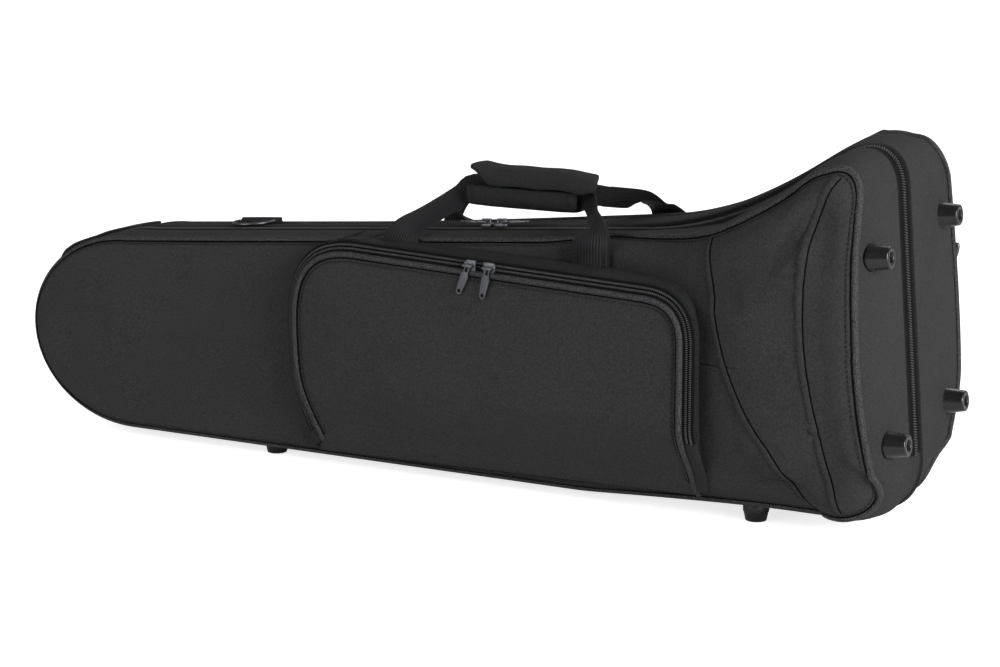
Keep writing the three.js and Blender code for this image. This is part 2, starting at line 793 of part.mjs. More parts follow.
function accessoryRecess() {
  return box(
    [accessory.from, partingPlane - cutOverrun, accessory.low],
    [accessory.to, partingPlane + accessory.depth, accessory.high],
  );
}

function addLinings() {
  add(frontHalf, "front_lining", cut(liningBlock(front), bellRecess(), slideRecess()), plush);
  add(backHalf, "back_lining", cut(liningBlock(back), bellRecess(), bowRecess(), accessoryRecess()), plush);
}

// Grooved foam blocks on which the slide lies, and the straps that hold it.
function addSlideHolders() {
  const floor = partingPlane - slideRest.depth + seat;
  const middle = slideRest.low + slideRest.height / 2;
  const places = { nose: slideRest.from + slideBlock.fromNose, bell: slideRest.to - slideBlock.fromBell };
  for (const [end, x] of Object.entries(places)) {
    const block = box(
      [x, floor, slideRest.low + seat],
      [x + slideBlock.length, floor + slideBlock.height, slideRest.low + slideRest.height - seat],
    );
    const grooves = [-1, 1].map((way) => turned(
      [[0, -cutOverrun], [slideBlock.groove, -cutOverrun],
        [slideBlock.groove, slideBlock.length + cutOverrun], [0, slideBlock.length + cutOverrun]],
      new THREE.Vector3(x, floor + slideBlock.height, middle + (way * slideBlock.spacing) / 2),
      new THREE.Vector3(1, 0, 0), counts.groove,
    ));
    add(frontHalf, `slide_rest_${end}`, cut(block, ...grooves), plush);
    const strapX = x + slideBlock.length / 2 - holdStrap.width / 2;
    const top = partingPlane - liningGap + seat;
    add(frontHalf, `slide_strap_${end}`, box(
      [strapX, top, slideRest.low - holdStrap.overlap],
      [strapX + holdStrap.width, top + holdStrap.thickness,
        slideRest.low + slideRest.height + holdStrap.overlap],
    ), webbing);
  }
}

// Strap over the bell's neck, and the block with two bores for mouthpieces.
function addBellHolders() {
  const x = (bellRest.from + bowRest.to) / 2;
  const low = bellAxis(x).z - bowRest.drop - bowRest.tube - holdStrap.overlap;
  const high = bellAxis(x).z + bowRest.tube + holdStrap.overlap * 2;
  const top = partingPlane + liningGap - seat;
  add(backHalf, "bell_strap", box(
    [x, top - holdStrap.thickness, low],
    [x + holdStrap.width, top, high],
  ), webbing);
  const middle = (accessory.low + accessory.high) / 2;
  const block = box(
    [accessory.from + seat, partingPlane + accessory.depth - seat - mouthpiece.depth,
      middle - mouthpiece.width / 2],
    [accessory.from + seat + mouthpiece.length, partingPlane + accessory.depth - seat,
      middle + mouthpiece.width / 2],
  );
  const bores = [-1, 1].map((way) => turned(
    [[0, -mouthpiece.boreDepth], [mouthpiece.taper, -mouthpiece.boreDepth],
      [mouthpiece.bore, cutOverrun], [0, cutOverrun]],
    new THREE.Vector3(accessory.from + seat + mouthpiece.length,
      partingPlane + accessory.depth - seat - mouthpiece.depth / 2, middle + (way * mouthpiece.spacing) / 2),
    new THREE.Vector3(1, 0, 0), counts.groove,
  ));
  add(backHalf, "mouthpiece_holder", cut(block, ...bores), plush);
}

// Outline of the pocket's zip, seen from the front.
function pocketOutline() {
  const v = (x, z) => new THREE.Vector2(x, z);
  const p = pocket;
  const n = pocketCounts;
  const curves = [
    [new THREE.LineCurve(v(p.leftFoot, p.bottom), v(p.rightFoot, p.bottom + p.footRise)), n.bottom],
    [new THREE.QuadraticBezierCurve(v(p.rightFoot, p.bottom + p.footRise), v(p.right, p.bottom + p.waist / 2),
      v(p.right, p.bottom + p.waist)), n.foot],
    [new THREE.LineCurve(v(p.right, p.bottom + p.waist), v(p.right, p.topRight - p.corner)), n.side],
    [new THREE.QuadraticBezierCurve(v(p.right, p.topRight - p.corner), v(p.right, p.topRight),
      v(p.right - p.corner, pocketTop(p.right - p.corner))), n.corner],
    [new THREE.LineCurve(v(p.right - p.corner, pocketTop(p.right - p.corner)),
      v(p.left + p.cornerLeft, pocketTop(p.left + p.cornerLeft))), n.top],
    [new THREE.QuadraticBezierCurve(v(p.left + p.cornerLeft, pocketTop(p.left + p.cornerLeft)),
      v(p.left, p.topLeft), v(p.left, p.topLeft - p.cornerLeft)), n.cornerLeft],
    [new THREE.QuadraticBezierCurve(v(p.left, p.topLeft - p.cornerLeft), v(p.left, p.bottom + p.waist / 2),
      v(p.leftFoot, p.bottom)), n.left],
  ];
  const inwardAt = (curve, t) => {
    const tangent = curve.getTangent(t);
    return new THREE.Vector2(-tangent.y, tangent.x);
  };
  return curves.flatMap(([curve, steps], part) => Array.from({ length: steps }, (_, k) => {
    const inward = inwardAt(curve, k / steps);
    if (k === 0) inward.add(inwardAt(curves.at(part - 1)[0], 1)).normalize();
    return { point: curve.getPoint(k / steps), inward, part };
  }));
}

function pocketTop(x) {
  return mix(pocket.topLeft, pocket.topRight, (x - pocket.left) / (pocket.right - pocket.left));
}

const pocketSamples = pocketOutline();
const pocketMiddle = new THREE.Vector2(
  (pocket.left + pocket.right) / 2, (pocket.bottom + (pocket.topLeft + pocket.topRight) / 2) / 2,
);

// The pocket flattens towards its foot.
function footShare(z, least) {
  return mix(least, 1, THREE.MathUtils.smoothstep(z, pocket.bottom, pocket.bottom + pocket.footHeight));
}

// Depth of the zip plane in front of the parting plane.
function pocketDepth(x, z) {
  const own = pocket.depth + (x - pocket.left) * pocket.flareShare;
  return pocket.baseDepth + own * footShare(z, pocket.footDepthShare);
}

// A point of the pocket: inset from the line of the teeth and moved out from the zip plane.
function pocketPoint({ point, inward }, inset, out, middleShare = 0) {
  const p = point.clone().addScaledVector(inward, inset).lerp(pocketMiddle, middleShare);
  const forward = out > 0 ? out * footShare(p.y, pocket.footDepthShare) : out;
  return new THREE.Vector3(p.x, partingPlane - pocketDepth(p.x, p.y) - forward, p.y);
}

function pocketRing(inset, out, middleShare) {
  return pocketSamples.map((sample) => pocketPoint(sample, inset, out, middleShare));
}

// Half of the pocket's zip: a tape and its row of teeth.
function pocketZip(way) {
  const zipped = pocketSamples.filter((s) => s.part > 0);
  const top = seat + tapeThickness;
  const section = [[seat / 2, seat], [pocket.tape, seat], [pocket.tape, top], [teeth.width / 2, top],
    [teeth.width / 2, top + teeth.height], [seat / 2, top + teeth.height]];
  return loft(zipped.map((sample) => section.map(([inset, out]) => pocketPoint(sample, way * inset, out))));
}

// Where the pocket's side wall ends inside the front shell's face.
function pocketRoot(inset) {
  return pocketRing(inset, 0).map((p) => new THREE.Vector3(p.x, partingPlane - pocket.rootDepth, p.z));
}

// The front strap's ends run under the pocket's side wall.
function strapSlot(x) {
  const half = strap.width / 2 + seat;
  const top = topEdge(x);
  return box([x - half, partingPlane - strapFace(front, x) - strap.thickness, top - strap.patch - seat],
    [x + half, partingPlane, top + strap.gatherRise]);
}

function addPocket() {
  const p = pocket;
  const gusset = loft([
    pocketRoot(-p.tape - p.gussetSpread),
    pocketRing(-p.tape, 0),
    pocketRing(p.gussetWall - p.tape, 0),
    pocketRoot(p.gussetWall - p.tape - p.gussetSpread),
  ], true);
  const slots = anchors.front.map(strapSlot);
  add(frontHalf, "pocket_gusset", cut(trimmed(gusset, frontEnvelope), ...slots), fabric);
  // The panel starts beside the zip, and at its foot, where no zip runs, beside the side wall.
  const start = ({ part }) => (part > 0 ? p.tape : p.gussetWall - p.tape) + seat;
  const hem = (more, out) => pocketSamples.map((sample) => pocketPoint(sample, start(sample) + more, out));
  const inner = p.crown - p.panelWall;
  const r = pocketPiping;
  const panel = loft([
    pocketRing(p.edge + p.panelWall, inner + p.middleCrown, panelShares.at),
    pocketRing(p.edge + p.panelWall, inner, panelShares.near),
    hem(p.panelWall, inner / 2),
    hem(p.panelWall, -p.panelSkirt),
    hem(0, -p.panelSkirt),
    hem(0, p.crown / 2),
    pocketRing(r.from, p.crown),
    pocketRing(r.from, p.crown + r.height),
    pocketRing(r.from + r.width, p.crown + r.height),
    pocketRing(r.from + r.width, p.crown),
    pocketRing(p.edge + p.panelWall, p.crown, panelShares.near),
    pocketRing(p.edge + p.panelWall, p.crown + p.middleCrown, panelShares.at),
  ], false, capAcross);
  add(pocketFlap, "pocket_panel", trimmed(panel, frontEnvelope), fabric);
  add(frontHalf, "pocket_zip_fixed", trimmed(pocketZip(-1), frontEnvelope), zipTape);
  add(pocketFlap, "pocket_zip_panel", trimmed(pocketZip(1), frontEnvelope), zipTape);
}

// Webbing along a curve: its width lies in the curve's own plane, its thickness along Y.
function webbingBand(points, widthAt, thickness) {
  const curve = new THREE.CatmullRomCurve3(points, false, "centripetal");
  const rings = [];
  for (let k = 0; k <= counts.band; k++) {
    const centre = curve.getPoint(k / counts.band);
    const along = curve.getTangent(k / counts.band);
    const flat = new THREE.Vector3(along.x, 0, along.z).normalize();
    const wide = new THREE.Vector3(-flat.z, 0, flat.x).multiplyScalar(widthAt(centre) / 2);
    const thick = new THREE.Vector3(0, thickness / 2, 0);
    rings.push([
      centre.clone().add(wide).add(thick),
      centre.clone().sub(wide).add(thick),
      centre.clone().sub(wide).sub(thick),
      centre.clone().add(wide).sub(thick),
    ]);
  }
  return loft(rings);
}

// Distance of a sewn strap's middle from the parting plane.
function strapFace(side, x) {
  return depthAt(side, x + strap.width / 2) + strap.thickness / 2 + piping.height + seat;
}

// One carrying strap: sewn to the face near both ends, and run through the grip.
// Where it leaves the case it is gathered to about half its width.
function carryStrap(side, ends) {
  const gripHalf = handle.gripLength / 2;
  const inGrip = partingPlane + side.sign * (strap.thickness / 2 + strap.apart);
  const leg = (x, way) => {
    const face = partingPlane + side.sign * strapFace(side, x);
    const top = topEdge(x);
    const gripEnd = handle.centre + way * gripHalf;
    const leave = top + strap.gatherRise / 2;
    const patch = [strap.patch, strap.patch / 2, strap.thickness].map(
      (below) => new THREE.Vector3(x, face, top - below));
    const run = [...strapRunShares, [1, 1, 1]].map(([along, inwards, up]) => new THREE.Vector3(
      mix(x, gripEnd, along), mix(face, inGrip, inwards), mix(leave, handle.gripHeight, up)));
    return [...patch, ...run];
  };
  const middle = gripShares.map((share) => new THREE.Vector3(
    handle.centre + share * gripHalf, inGrip, handle.gripHeight));
  const widthAt = ({ x, z }) => {
    const leave = topEdge(x) - strap.thickness;
    return mix(strap.width, strap.gathered, THREE.MathUtils.smoothstep(z, leave, leave + strap.gatherRise));
  };
  const points = [...leg(ends[0], -1), ...middle, ...leg(ends[1], 1).reverse()];
  return webbingBand(points, widthAt, strap.thickness);
}

function addNoseLoop() {
  const n = noseLoop;
  const high = noseHeight / 2;
  const centre = new THREE.Vector2(noseLength, restHeight + high);
  const points = n.path.map(([degrees, off]) => {
    const angle = THREE.MathUtils.degToRad(degrees);
    const out = new THREE.Vector2(-Math.sin(angle) / noseLength, Math.cos(angle) / high).normalize();
    const rim = new THREE.Vector2(-Math.sin(angle) * noseLength, Math.cos(angle) * high).add(centre);
    return rim.addScaledVector(out, off + teeth.height + n.thickness / 2);
  });
  const curve = new THREE.SplineCurve(points);
  const rings = Array.from({ length: counts.loop + 1 }, (_, k) => {
    const p = curve.getPoint(k / counts.loop);
    const along = curve.getTangent(k / counts.loop);
    const out = new THREE.Vector2(-along.y, along.x).multiplyScalar(n.thickness / 2);
    const corner = (y, way) => new THREE.Vector3(p.x + way * out.x, partingPlane + y, p.y + way * out.y);
    return [corner(n.near, 1), corner(n.near + n.width, 1), corner(n.near + n.width, -1), corner(n.near, -1)];
  });
  add(backHalf, "nose_strap", trimmed(loft(rings), backEnvelope), webbing);
}

// Padded grip: a sleeve round both straps, open along the upper front, and the flap that closes it.
function addGrip() {
  const p = gripPad;
  const innerHeight = strap.gathered / 2 + p.room;
  const outerHeight = innerHeight + p.wall;
  const innerDepth = p.depth / 2 - p.wall;
  const outerDepth = p.depth / 2;
  const lip = mix(-outerHeight, outerHeight, p.frontShare);
  const section = new THREE.Shape();
  section.moveTo(-outerDepth, lip);
  section.lineTo(-outerDepth, -outerHeight + p.round);
  section.quadraticCurveTo(-outerDepth, -outerHeight, -outerDepth + p.round, -outerHeight);
  section.lineTo(outerDepth - p.round, -outerHeight);
  section.quadraticCurveTo(outerDepth, -outerHeight, outerDepth, -outerHeight + p.round);
  section.lineTo(outerDepth, outerHeight);
  section.lineTo(innerDepth, outerHeight);
  section.lineTo(innerDepth, -innerHeight);
  section.lineTo(-innerDepth, -innerHeight);
  section.lineTo(-innerDepth, lip);
  const padStart = handle.centre - handle.gripLength / 2;
  add(backHalf, "grip_pad", alongX(section, padStart, handle.gripLength), fabric);

  const f = gripFlap;
  const low = outerHeight + f.gap;
  const outer = outerDepth + f.gap;
  const flap = new THREE.Shape();
  flap.moveTo(outerDepth, low);
  flap.lineTo(outerDepth, low + f.thickness);
  flap.lineTo(-outer, low + f.thickness);
  flap.quadraticCurveTo(-outer - f.thickness, low + f.thickness, -outer - f.thickness, low);
  flap.lineTo(-outer - f.thickness, low - f.overhang);
  flap.lineTo(-outer, low - f.overhang);
  flap.lineTo(-outer, low);
  add(backHalf, "grip_flap", alongX(flap, handle.centre + f.shift - f.length / 2, f.length), fabric);
}

// Extrudes a section drawn in Y and Z along X, at the height of the grip.
function alongX(section, start, length) {
  const geometry = new THREE.ExtrudeGeometry(section, {
    depth: length, bevelEnabled: false, curveSegments: counts.soft,
  });
  const basis = new THREE.Matrix4().makeBasis(
    new THREE.Vector3(0, 1, 0), new THREE.Vector3(0, 0, 1), new THREE.Vector3(1, 0, 0),
  );
  return geometry.applyMatrix4(basis).translate(start, partingPlane, handle.gripHeight);
}

// A slider body with its arch, and a pull whose bar lies under the arch.
// Both are built on the origin: travel along +X, away from the zip along +Z.
function sliderBody() {
  const s = slider;
  const post = (from) => box([from, -s.archWidth / 2, s.height - seat],
    [from + s.archBar, s.archWidth / 2, s.height + s.arch + s.archBar]);
  const reach = s.archLength;
  const base = new THREE.Shape();
  base.moveTo(-s.length / 2, -s.width / 2);
  base.lineTo(s.shoulder, -s.width / 2);
  base.lineTo(s.length / 2, -s.noseWidth / 2);
  base.lineTo(s.length / 2, s.noseWidth / 2);
  base.lineTo(s.shoulder, s.width / 2);
  base.lineTo(-s.length / 2, s.width / 2);
  const body = new THREE.ExtrudeGeometry(base, { depth: s.height, bevelEnabled: false });
  const roof = box([-reach / 2, -s.archWidth / 2, s.height + s.arch],
    [reach / 2, s.archWidth / 2, s.height + s.arch + s.archBar]);
  return fuse(body, post(-reach / 2), post(reach / 2 - s.archBar), roof);
}

function pullTab() {
  const p = pull;
  const half = p.windowWide / 2 + p.rail;
  const bar = p.thickness / 2;
  const tab = new THREE.Shape();
  tab.moveTo(-bar, -half);
  tab.lineTo(p.windowLong + p.rail, -half);
  tab.lineTo(p.shoulder, -p.width / 2);
  tab.lineTo(p.length - p.tip / 2, -p.tip / 2);
  tab.absarc(p.length - p.tip / 2, 0, p.tip / 2, -Math.PI / 2, Math.PI / 2, false);
  tab.lineTo(p.shoulder, p.width / 2);
  tab.lineTo(p.windowLong + p.rail, half);
  tab.lineTo(-bar, half);
  const window = new THREE.Path();
  window.moveTo(bar, -p.windowWide / 2);
  window.lineTo(bar, p.windowWide / 2);
  window.lineTo(p.windowLong, p.windowWide / 2);
  window.lineTo(p.windowLong, -p.windowWide / 2);
  const eye = new THREE.Path();
  eye.absarc(p.length - p.tip / 2, 0, p.hole, 0, Math.PI * 2, true);
  tab.holes.push(window, eye);
  const geometry = new THREE.ExtrudeGeometry(tab, {
    depth: p.thickness, bevelEnabled: false, curveSegments: counts.pull,
  });
  return geometry.translate(0, 0, -p.thickness / 2);
}

// Puts a slider and its pull on a zip: along is the travel, up points away from the zip.
function addSlider(group, name, at, along, up, pullAlong) {
  const across = new THREE.Vector3().crossVectors(up, along);
  const body = new THREE.Matrix4().makeBasis(along, across, up).setPosition(at);
  add(group, name, sliderBody(), darkMetal, body);
  const pivot = at.clone().addScaledVector(up, slider.height + slider.arch / 2);
  const side = new THREE.Vector3().crossVectors(up, pullAlong);
  const turn = new THREE.Matrix4().makeBasis(pullAlong, side, up).setPosition(pivot);
  add(group, `${name}_pull`, pullTab(), darkMetal, turn);
}

function addSliders() {
  const top = topDirection();
  const up = new THREE.Vector3(-top.z, 0, top.x);
  for (const [end, way] of [["left", -1], ["right", 1]]) {
    const x = mainSliderX[end];
    const lift = teeth.height + tapeThickness - rebate.depth + seat * 2;
    const at = new THREE.Vector3(x, partingPlane, topEdge(x)).addScaledVector(up, lift);
    const along = top.clone().multiplyScalar(way);
    addSlider(backHalf, `main_slider_${end}`, at, along, up, along);
  }
  const rise = (pocket.topRight - pocket.topLeft) / (pocket.right - pocket.left);
  const run = new THREE.Vector3(1, -pocket.flareShare, rise).normalize();
  const out = new THREE.Vector3(-pocket.flareShare, -1, 0).normalize();
  const down = new THREE.Vector3().crossVectors(run, out).normalize();
  if (down.z > 0) down.negate();
  for (const [end, way] of [["left", -1], ["right", 1]]) {
    const x = pocketSliderX[end];
    const z = pocketTop(x);
    const lift = tapeThickness + teeth.height + seat * 2;
    const at = new THREE.Vector3(x, partingPlane - pocketDepth(x, z) - lift, z);
    const hang = down.clone().addScaledVector(run, -pullLeanShares[end]).normalize();
    addSlider(pocketFlap, `pocket_slider_${end}`, at, run.clone().multiplyScalar(way), out, hang);
  }
}

// A D-ring built on the origin: its straight bar along X at the origin, the bow towards +Y.
function ringWire() {
  const half = ring.width / 2;
  const curve = new THREE.CurvePath();
  const v = (x, y) => new THREE.Vector3(x, y, 0);
  curve.add(new THREE.LineCurve3(v(-half, 0), v(half, 0)));
  const pulls = [v(half, ring.bowPull), v(-half, ring.bowPull)];
  curve.add(new THREE.CubicBezierCurve3(v(half, 0), ...pulls, v(-half, 0)));
  const bar = curve.curves[0].getPoints(counts.ringBar).slice(1, -1);
  const points = [...bar, ...curve.curves[1].getPoints(counts.ringBow)];
  return loft(points.map((point, i) => {
    const before = points[(i + points.length - 1) % points.length];
    const after = points[(i + 1) % points.length];
    const along = after.clone().sub(before).normalize();
    const out = new THREE.Vector3(along.y, -along.x, 0);
    return Array.from({ length: counts.wire }, (_, k) => {
      const angle = (k / counts.wire) * Math.PI * 2;
      return new THREE.Vector3(
        point.x + out.x * Math.cos(angle) * ring.wire,
        point.y + out.y * Math.cos(angle) * ring.wire,
        Math.sin(angle) * ring.wire,
      );
    });
  }), true);
}

// Webbing folded round the ring's bar: a loop with two tails, built like the ring, tails towards -Y.
// The tails reach down to the shell, where they are sewn.
function ringTabFold() {
  const t = ringTab;
  const inner = ring.wire + t.room;
  const outer = inner + t.thickness;
  const section = new THREE.Shape();
  section.moveTo(-t.length, -outer - t.seam);
  section.lineTo(-outer, -outer - t.seam);
  section.lineTo(-outer, -outer);
  section.lineTo(0, -outer);
  section.absarc(0, 0, outer, -Math.PI / 2, Math.PI / 2, false);
  section.lineTo(-t.length, t.tail);
  section.lineTo(-t.length, -outer - t.seam);
  const eye = new THREE.Path();
  eye.absarc(0, 0, inner, 0, Math.PI * 2, true);
  section.holes.push(eye);
  const geometry = new THREE.ExtrudeGeometry(section, {
    depth: t.width, bevelEnabled: false, curveSegments: counts.fold,
  });
  const basis = new THREE.Matrix4().makeBasis(
    new THREE.Vector3(0, 1, 0), new THREE.Vector3(0, 0, 1), new THREE.Vector3(1, 0, 0),
  );
  return geometry.applyMatrix4(basis).translate(-t.width / 2, 0, 0);
}

function addRings() {
  const lift = ring.wire + ringTab.room + ringTab.thickness;
  const edge = { point: new THREE.Vector2(topRing.x, topEdge(topRing.x)), facing: new THREE.Vector2(0, 1) };
  const drop = insetAtDepth(back, edge, topRing.y + ringTab.length / 2);
  const topPlace = new THREE.Matrix4().makeBasis(
    topDirection().negate(), new THREE.Vector3(0, -1, 0), new THREE.Vector3(-topRiseShare, 0, 1).normalize(),
  ).setPosition(topRing.x, partingPlane + topRing.y, topEdge(topRing.x) - drop + lift);
  const inset = bellEnd(bellRing.z) - bellRing.x;
  const face = depthAtInset(back, endSample(bellRing.z), inset) + lift - ringTab.sink;
  const bellPlace = new THREE.Matrix4().makeBasis(
    new THREE.Vector3(1, 0, 0), new THREE.Vector3(0, 0, -1), new THREE.Vector3(0, 1, 0),
  ).setPosition(bellRing.x, partingPlane + face, bellRing.z);
  for (const [name, matrix] of [["top_ring", topPlace], ["bell_ring", bellPlace]]) {
    add(backHalf, `${name}_tab`, trimmed(ringTabFold().applyMatrix4(matrix), backEnvelope), webbing);
    add(backHalf, name, ringWire(), darkMetal, matrix);
  }
}

addShellsAndFeet();
add(frontHalf, "front_zip_half", zipHalf(front), zipTape);
add(backHalf, "back_zip_half", zipHalf(back), zipTape);
add(frontHalf, "front_fold_half", foldHalf(front), fabric);
add(backHalf, "back_fold_half", foldHalf(back), fabric);
addLinings();
addSlideHolders();
addBellHolders();
addPocket();
add(frontHalf, "front_strap", trimmed(carryStrap(front, anchors.front), frontEnvelope), webbing);
add(backHalf, "back_strap", trimmed(carryStrap(back, anchors.back), backEnvelope), webbing);
addGrip();
addNoseLoop();
addSliders();
addRings();

const bounds = new THREE.Box3().setFromObject(object);
const middle = bounds.getCenter(new THREE.Vector3());
object.position.set(-middle.x, -middle.y, -bounds.min.z);

export default object;
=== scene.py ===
"""Dresses the trombone case: woven covers with piping and seams, coil zips, ribbed webbing, plush and fittings."""

import json
import logging
import math
from dataclasses import dataclass, field
from enum import Enum
from typing import Callable, Iterable, Sequence

import bmesh
import bpy
import numpy
from mathutils import Matrix, Vector, noise
from mathutils.bvhtree import BVHTree


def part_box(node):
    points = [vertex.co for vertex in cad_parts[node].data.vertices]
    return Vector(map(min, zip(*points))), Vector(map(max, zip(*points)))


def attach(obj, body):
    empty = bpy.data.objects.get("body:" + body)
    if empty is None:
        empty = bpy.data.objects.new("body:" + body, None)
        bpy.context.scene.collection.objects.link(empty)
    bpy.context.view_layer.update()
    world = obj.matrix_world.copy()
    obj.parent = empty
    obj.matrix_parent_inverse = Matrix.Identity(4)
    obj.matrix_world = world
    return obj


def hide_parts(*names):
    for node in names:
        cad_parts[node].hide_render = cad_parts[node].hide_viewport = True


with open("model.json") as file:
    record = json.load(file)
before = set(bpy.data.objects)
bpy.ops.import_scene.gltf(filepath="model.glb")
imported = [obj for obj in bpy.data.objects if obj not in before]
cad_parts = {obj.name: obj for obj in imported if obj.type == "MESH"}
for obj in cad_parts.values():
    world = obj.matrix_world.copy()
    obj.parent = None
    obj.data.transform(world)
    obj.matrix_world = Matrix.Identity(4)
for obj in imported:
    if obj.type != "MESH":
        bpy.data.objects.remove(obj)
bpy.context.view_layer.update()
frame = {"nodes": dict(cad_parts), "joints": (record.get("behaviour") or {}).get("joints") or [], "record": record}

MM = 0.001
TURN = 2 * math.pi
log = logging.getLogger("trombone_case")

Section = list[Vector]
Curve = Callable[[float], Vector]
Ups = Sequence[Vector] | Vector
Outline = list[tuple[float, float]]
Piece = bpy.types.Object
Mesh = bmesh.types.BMesh
Tree = bpy.types.NodeTree
Node = bpy.types.Node
Socket = bpy.types.NodeSocket

WELD = 1e-7  # vertices of a new mesh nearer than this, in metres, are one
CAD_WELD = 1e-6  # the same for a CAD node's mesh
FOLD_ANGLE = 40  # edges that fold by more than this many degrees look sharp
CUSHION_FRAMES = 20  # frames of cloth simulation that fill a cushion
STITCH = Vector((3.2, 0.9, 0.6))  # one stitch, in millimetres
STITCH_PITCH = 4.4  # distance between stitches, in millimetres
# The dark line beside piping is a painted shadow in the crease.
SHADOW_LINE_WIDTH = 1.6  # width of the dark line beside piping, in millimetres


class Body(Enum):
    """The moving bodies of the case."""

    BACK = "back_half"
    FRONT = "front_half"
    POCKET = "pocket_flap"
    GRIP_FLAP = "grip_flap"
    TOP_RING = "top_ring"
    BELL_RING = "bell_ring"


class Part(Enum):
    """The stretches of the case's outline, in order."""

    BOTTOM = 0
    BOTTOM_CORNER = 1
    END = 2
    TOP_CORNER = 3
    FLARE = 4
    EDGE = 5
    NOSE = 6


def mix(a: float, b: float, t: float) -> float:
    """The value a share t of the way from a to b."""
    return a + (b - a) * t


def smoothstep(x: float, low: float, high: float) -> float:
    """Zero below low, one above high, and a smooth rise between them."""
    t = min(max((x - low) / (high - low), 0.0), 1.0)
    return t * t * (3 - 2 * t)


def linear(hex_colour: int) -> tuple[float, float, float, float]:
    """Turns an sRGB hex colour into linear values.

    Args:
        hex_colour: The colour as 0xRRGGBB.

    Returns:
        Red, green, blue and alpha for a shader socket.
    """
    channels = [(hex_colour >> shift & 0xFF) / 255 for shift in (16, 8, 0)]
    low = [c / 12.92 if c <= 0.04045 else ((c + 0.055) / 1.055) ** 2.4 for c in channels]
    return (low[0], low[1], low[2], 1.0)


# Curves


def line(a: Vector, b: Vector) -> Curve:
    """A straight stretch from a to b."""
    return lambda t: a.lerp(b, t)


def quadratic(a: Vector, b: Vector, c: Vector) -> Curve:
    """A quadratic Bezier curve."""
    return lambda t: a * (1 - t) ** 2 + b * (2 * t * (1 - t)) + c * t**2


def cubic(a: Vector, b: Vector, c: Vector, d: Vector) -> Curve:
    """A cubic Bezier curve."""
    return lambda t: a * (1 - t) ** 3 + b * (3 * t * (1 - t) ** 2) + c * (3 * t**2 * (1 - t)) + d * t**3


def catmull(points: Sequence[Vector]) -> Curve:
    """A smooth curve through all the points.

    Args:
        points: The points, in order.

    Returns:
        The curve as a function of a share from 0 to 1.
    """
    last = len(points) - 1

    def at(t: float) -> Vector:
        """The point at a share of the curve."""
        k = min(int(t * last), last - 1)
        f = t * last - k
        a, b = points[max(k - 1, 0)], points[k]
        c, d = points[k + 1], points[min(k + 2, last)]
        return (b * 2 + (c - a) * f + (a * 2 - b * 5 + c * 4 - d) * f**2 + (b * 3 - a - c * 3 + d) * f**3) * 0.5

    return at


def direction(curve: Curve, t: float) -> Vector:
    """The way a curve runs at a share of its length."""
    step = 1e-4
    return (curve(min(t + step, 1)) - curve(max(t - step, 0))).normalized()


def tabled(table: Sequence[tuple[float, float]], x: float) -> float:
    """The value at x of a table of rising places and their values, straight between its rows."""
    near, far = next(pair for pair in zip(table, table[1:]) if x <= pair[1][0])
    return mix(near[1], far[1], (x - near[0]) / (far[0] - near[0]))


def nearest_ups(path: Sequence[Vector], ups: Sequence[Vector], points: Sequence[Vector]) -> list[Vector]:
    """The up vector of the path's nearest point for each of some points that follow it.

    Args:
        path: The points that have up vectors.
        ups: The up vectors.
        points: The points that need one, in the path's order.

    Returns:
        An up vector for each point.
    """
    found, k = [], 0
    for point in points:
        while k < len(path) - 1 and (path[k + 1] - point).length < (path[k] - point).length:
            k += 1
        found.append(ups[k])
    return found


def resampled(points: Sequence[Vector], pitch: float, closed: bool = False) -> list[Vector]:
    """Points at an even distance along a polyline.

    Args:
        points: The polyline.
        pitch: The distance between the new points.
        closed: Whether the last point joins the first.

    Returns:
        The new points, without the closing one.
    """
    run = [*points, points[0]] if closed else list(points)
    lengths = [0.0]
    for a, b in zip(run, run[1:]):
        lengths.append(lengths[-1] + (b - a).length)
    count = max(int(lengths[-1] / pitch), 2)
    result = []
    k = 0
    for n in range(count + (0 if closed else 1)):
        want = lengths[-1] * n / count
        while k < len(lengths) - 2 and lengths[k + 1] < want:
            k += 1
        span = max(lengths[k + 1] - lengths[k], 1e-9)
        result.append(run[k].lerp(run[k + 1], (want - lengths[k]) / span))
    return result


# Building meshes


def closed_up(bm: Mesh, caps: bool) -> None:
    """Merges doubles, closes open ends and turns the faces outwards.

    Args:
        bm: The mesh being built.
        caps: Whether open ends are filled.
    """
    bmesh.ops.remove_doubles(bm, verts=bm.verts, dist=WELD)
    if caps:
        rim = [e for e in bm.edges if e.is_boundary]
        if rim:
            bmesh.ops.holes_fill(bm, edges=rim, sides=0)
    bmesh.ops.recalc_face_normals(bm, faces=bm.faces)


def made_object(name: str, bm: Mesh, sharp_angle: float = FOLD_ANGLE) -> Piece:
    """Turns a bmesh into a linked object with smooth faces and sharp folds.

    Args:
        name: The object's name.
        bm: The mesh, which is freed.
        sharp_angle: Edges that fold by more than this many degrees stay sharp.

    Returns:
        The new object, at the origin.
    """
    limit = math.radians(sharp_angle)
    for face in bm.faces:
        face.smooth = True
    for edge in bm.edges:
        if len(edge.link_faces) == 2 and edge.calc_face_angle(0) > limit:
            edge.smooth = False
    mesh = bpy.data.meshes.new(name)
    bm.to_mesh(mesh)
    bm.free()
    piece = bpy.data.objects.new(name, mesh)
    bpy.context.scene.collection.objects.link(piece)
    return piece


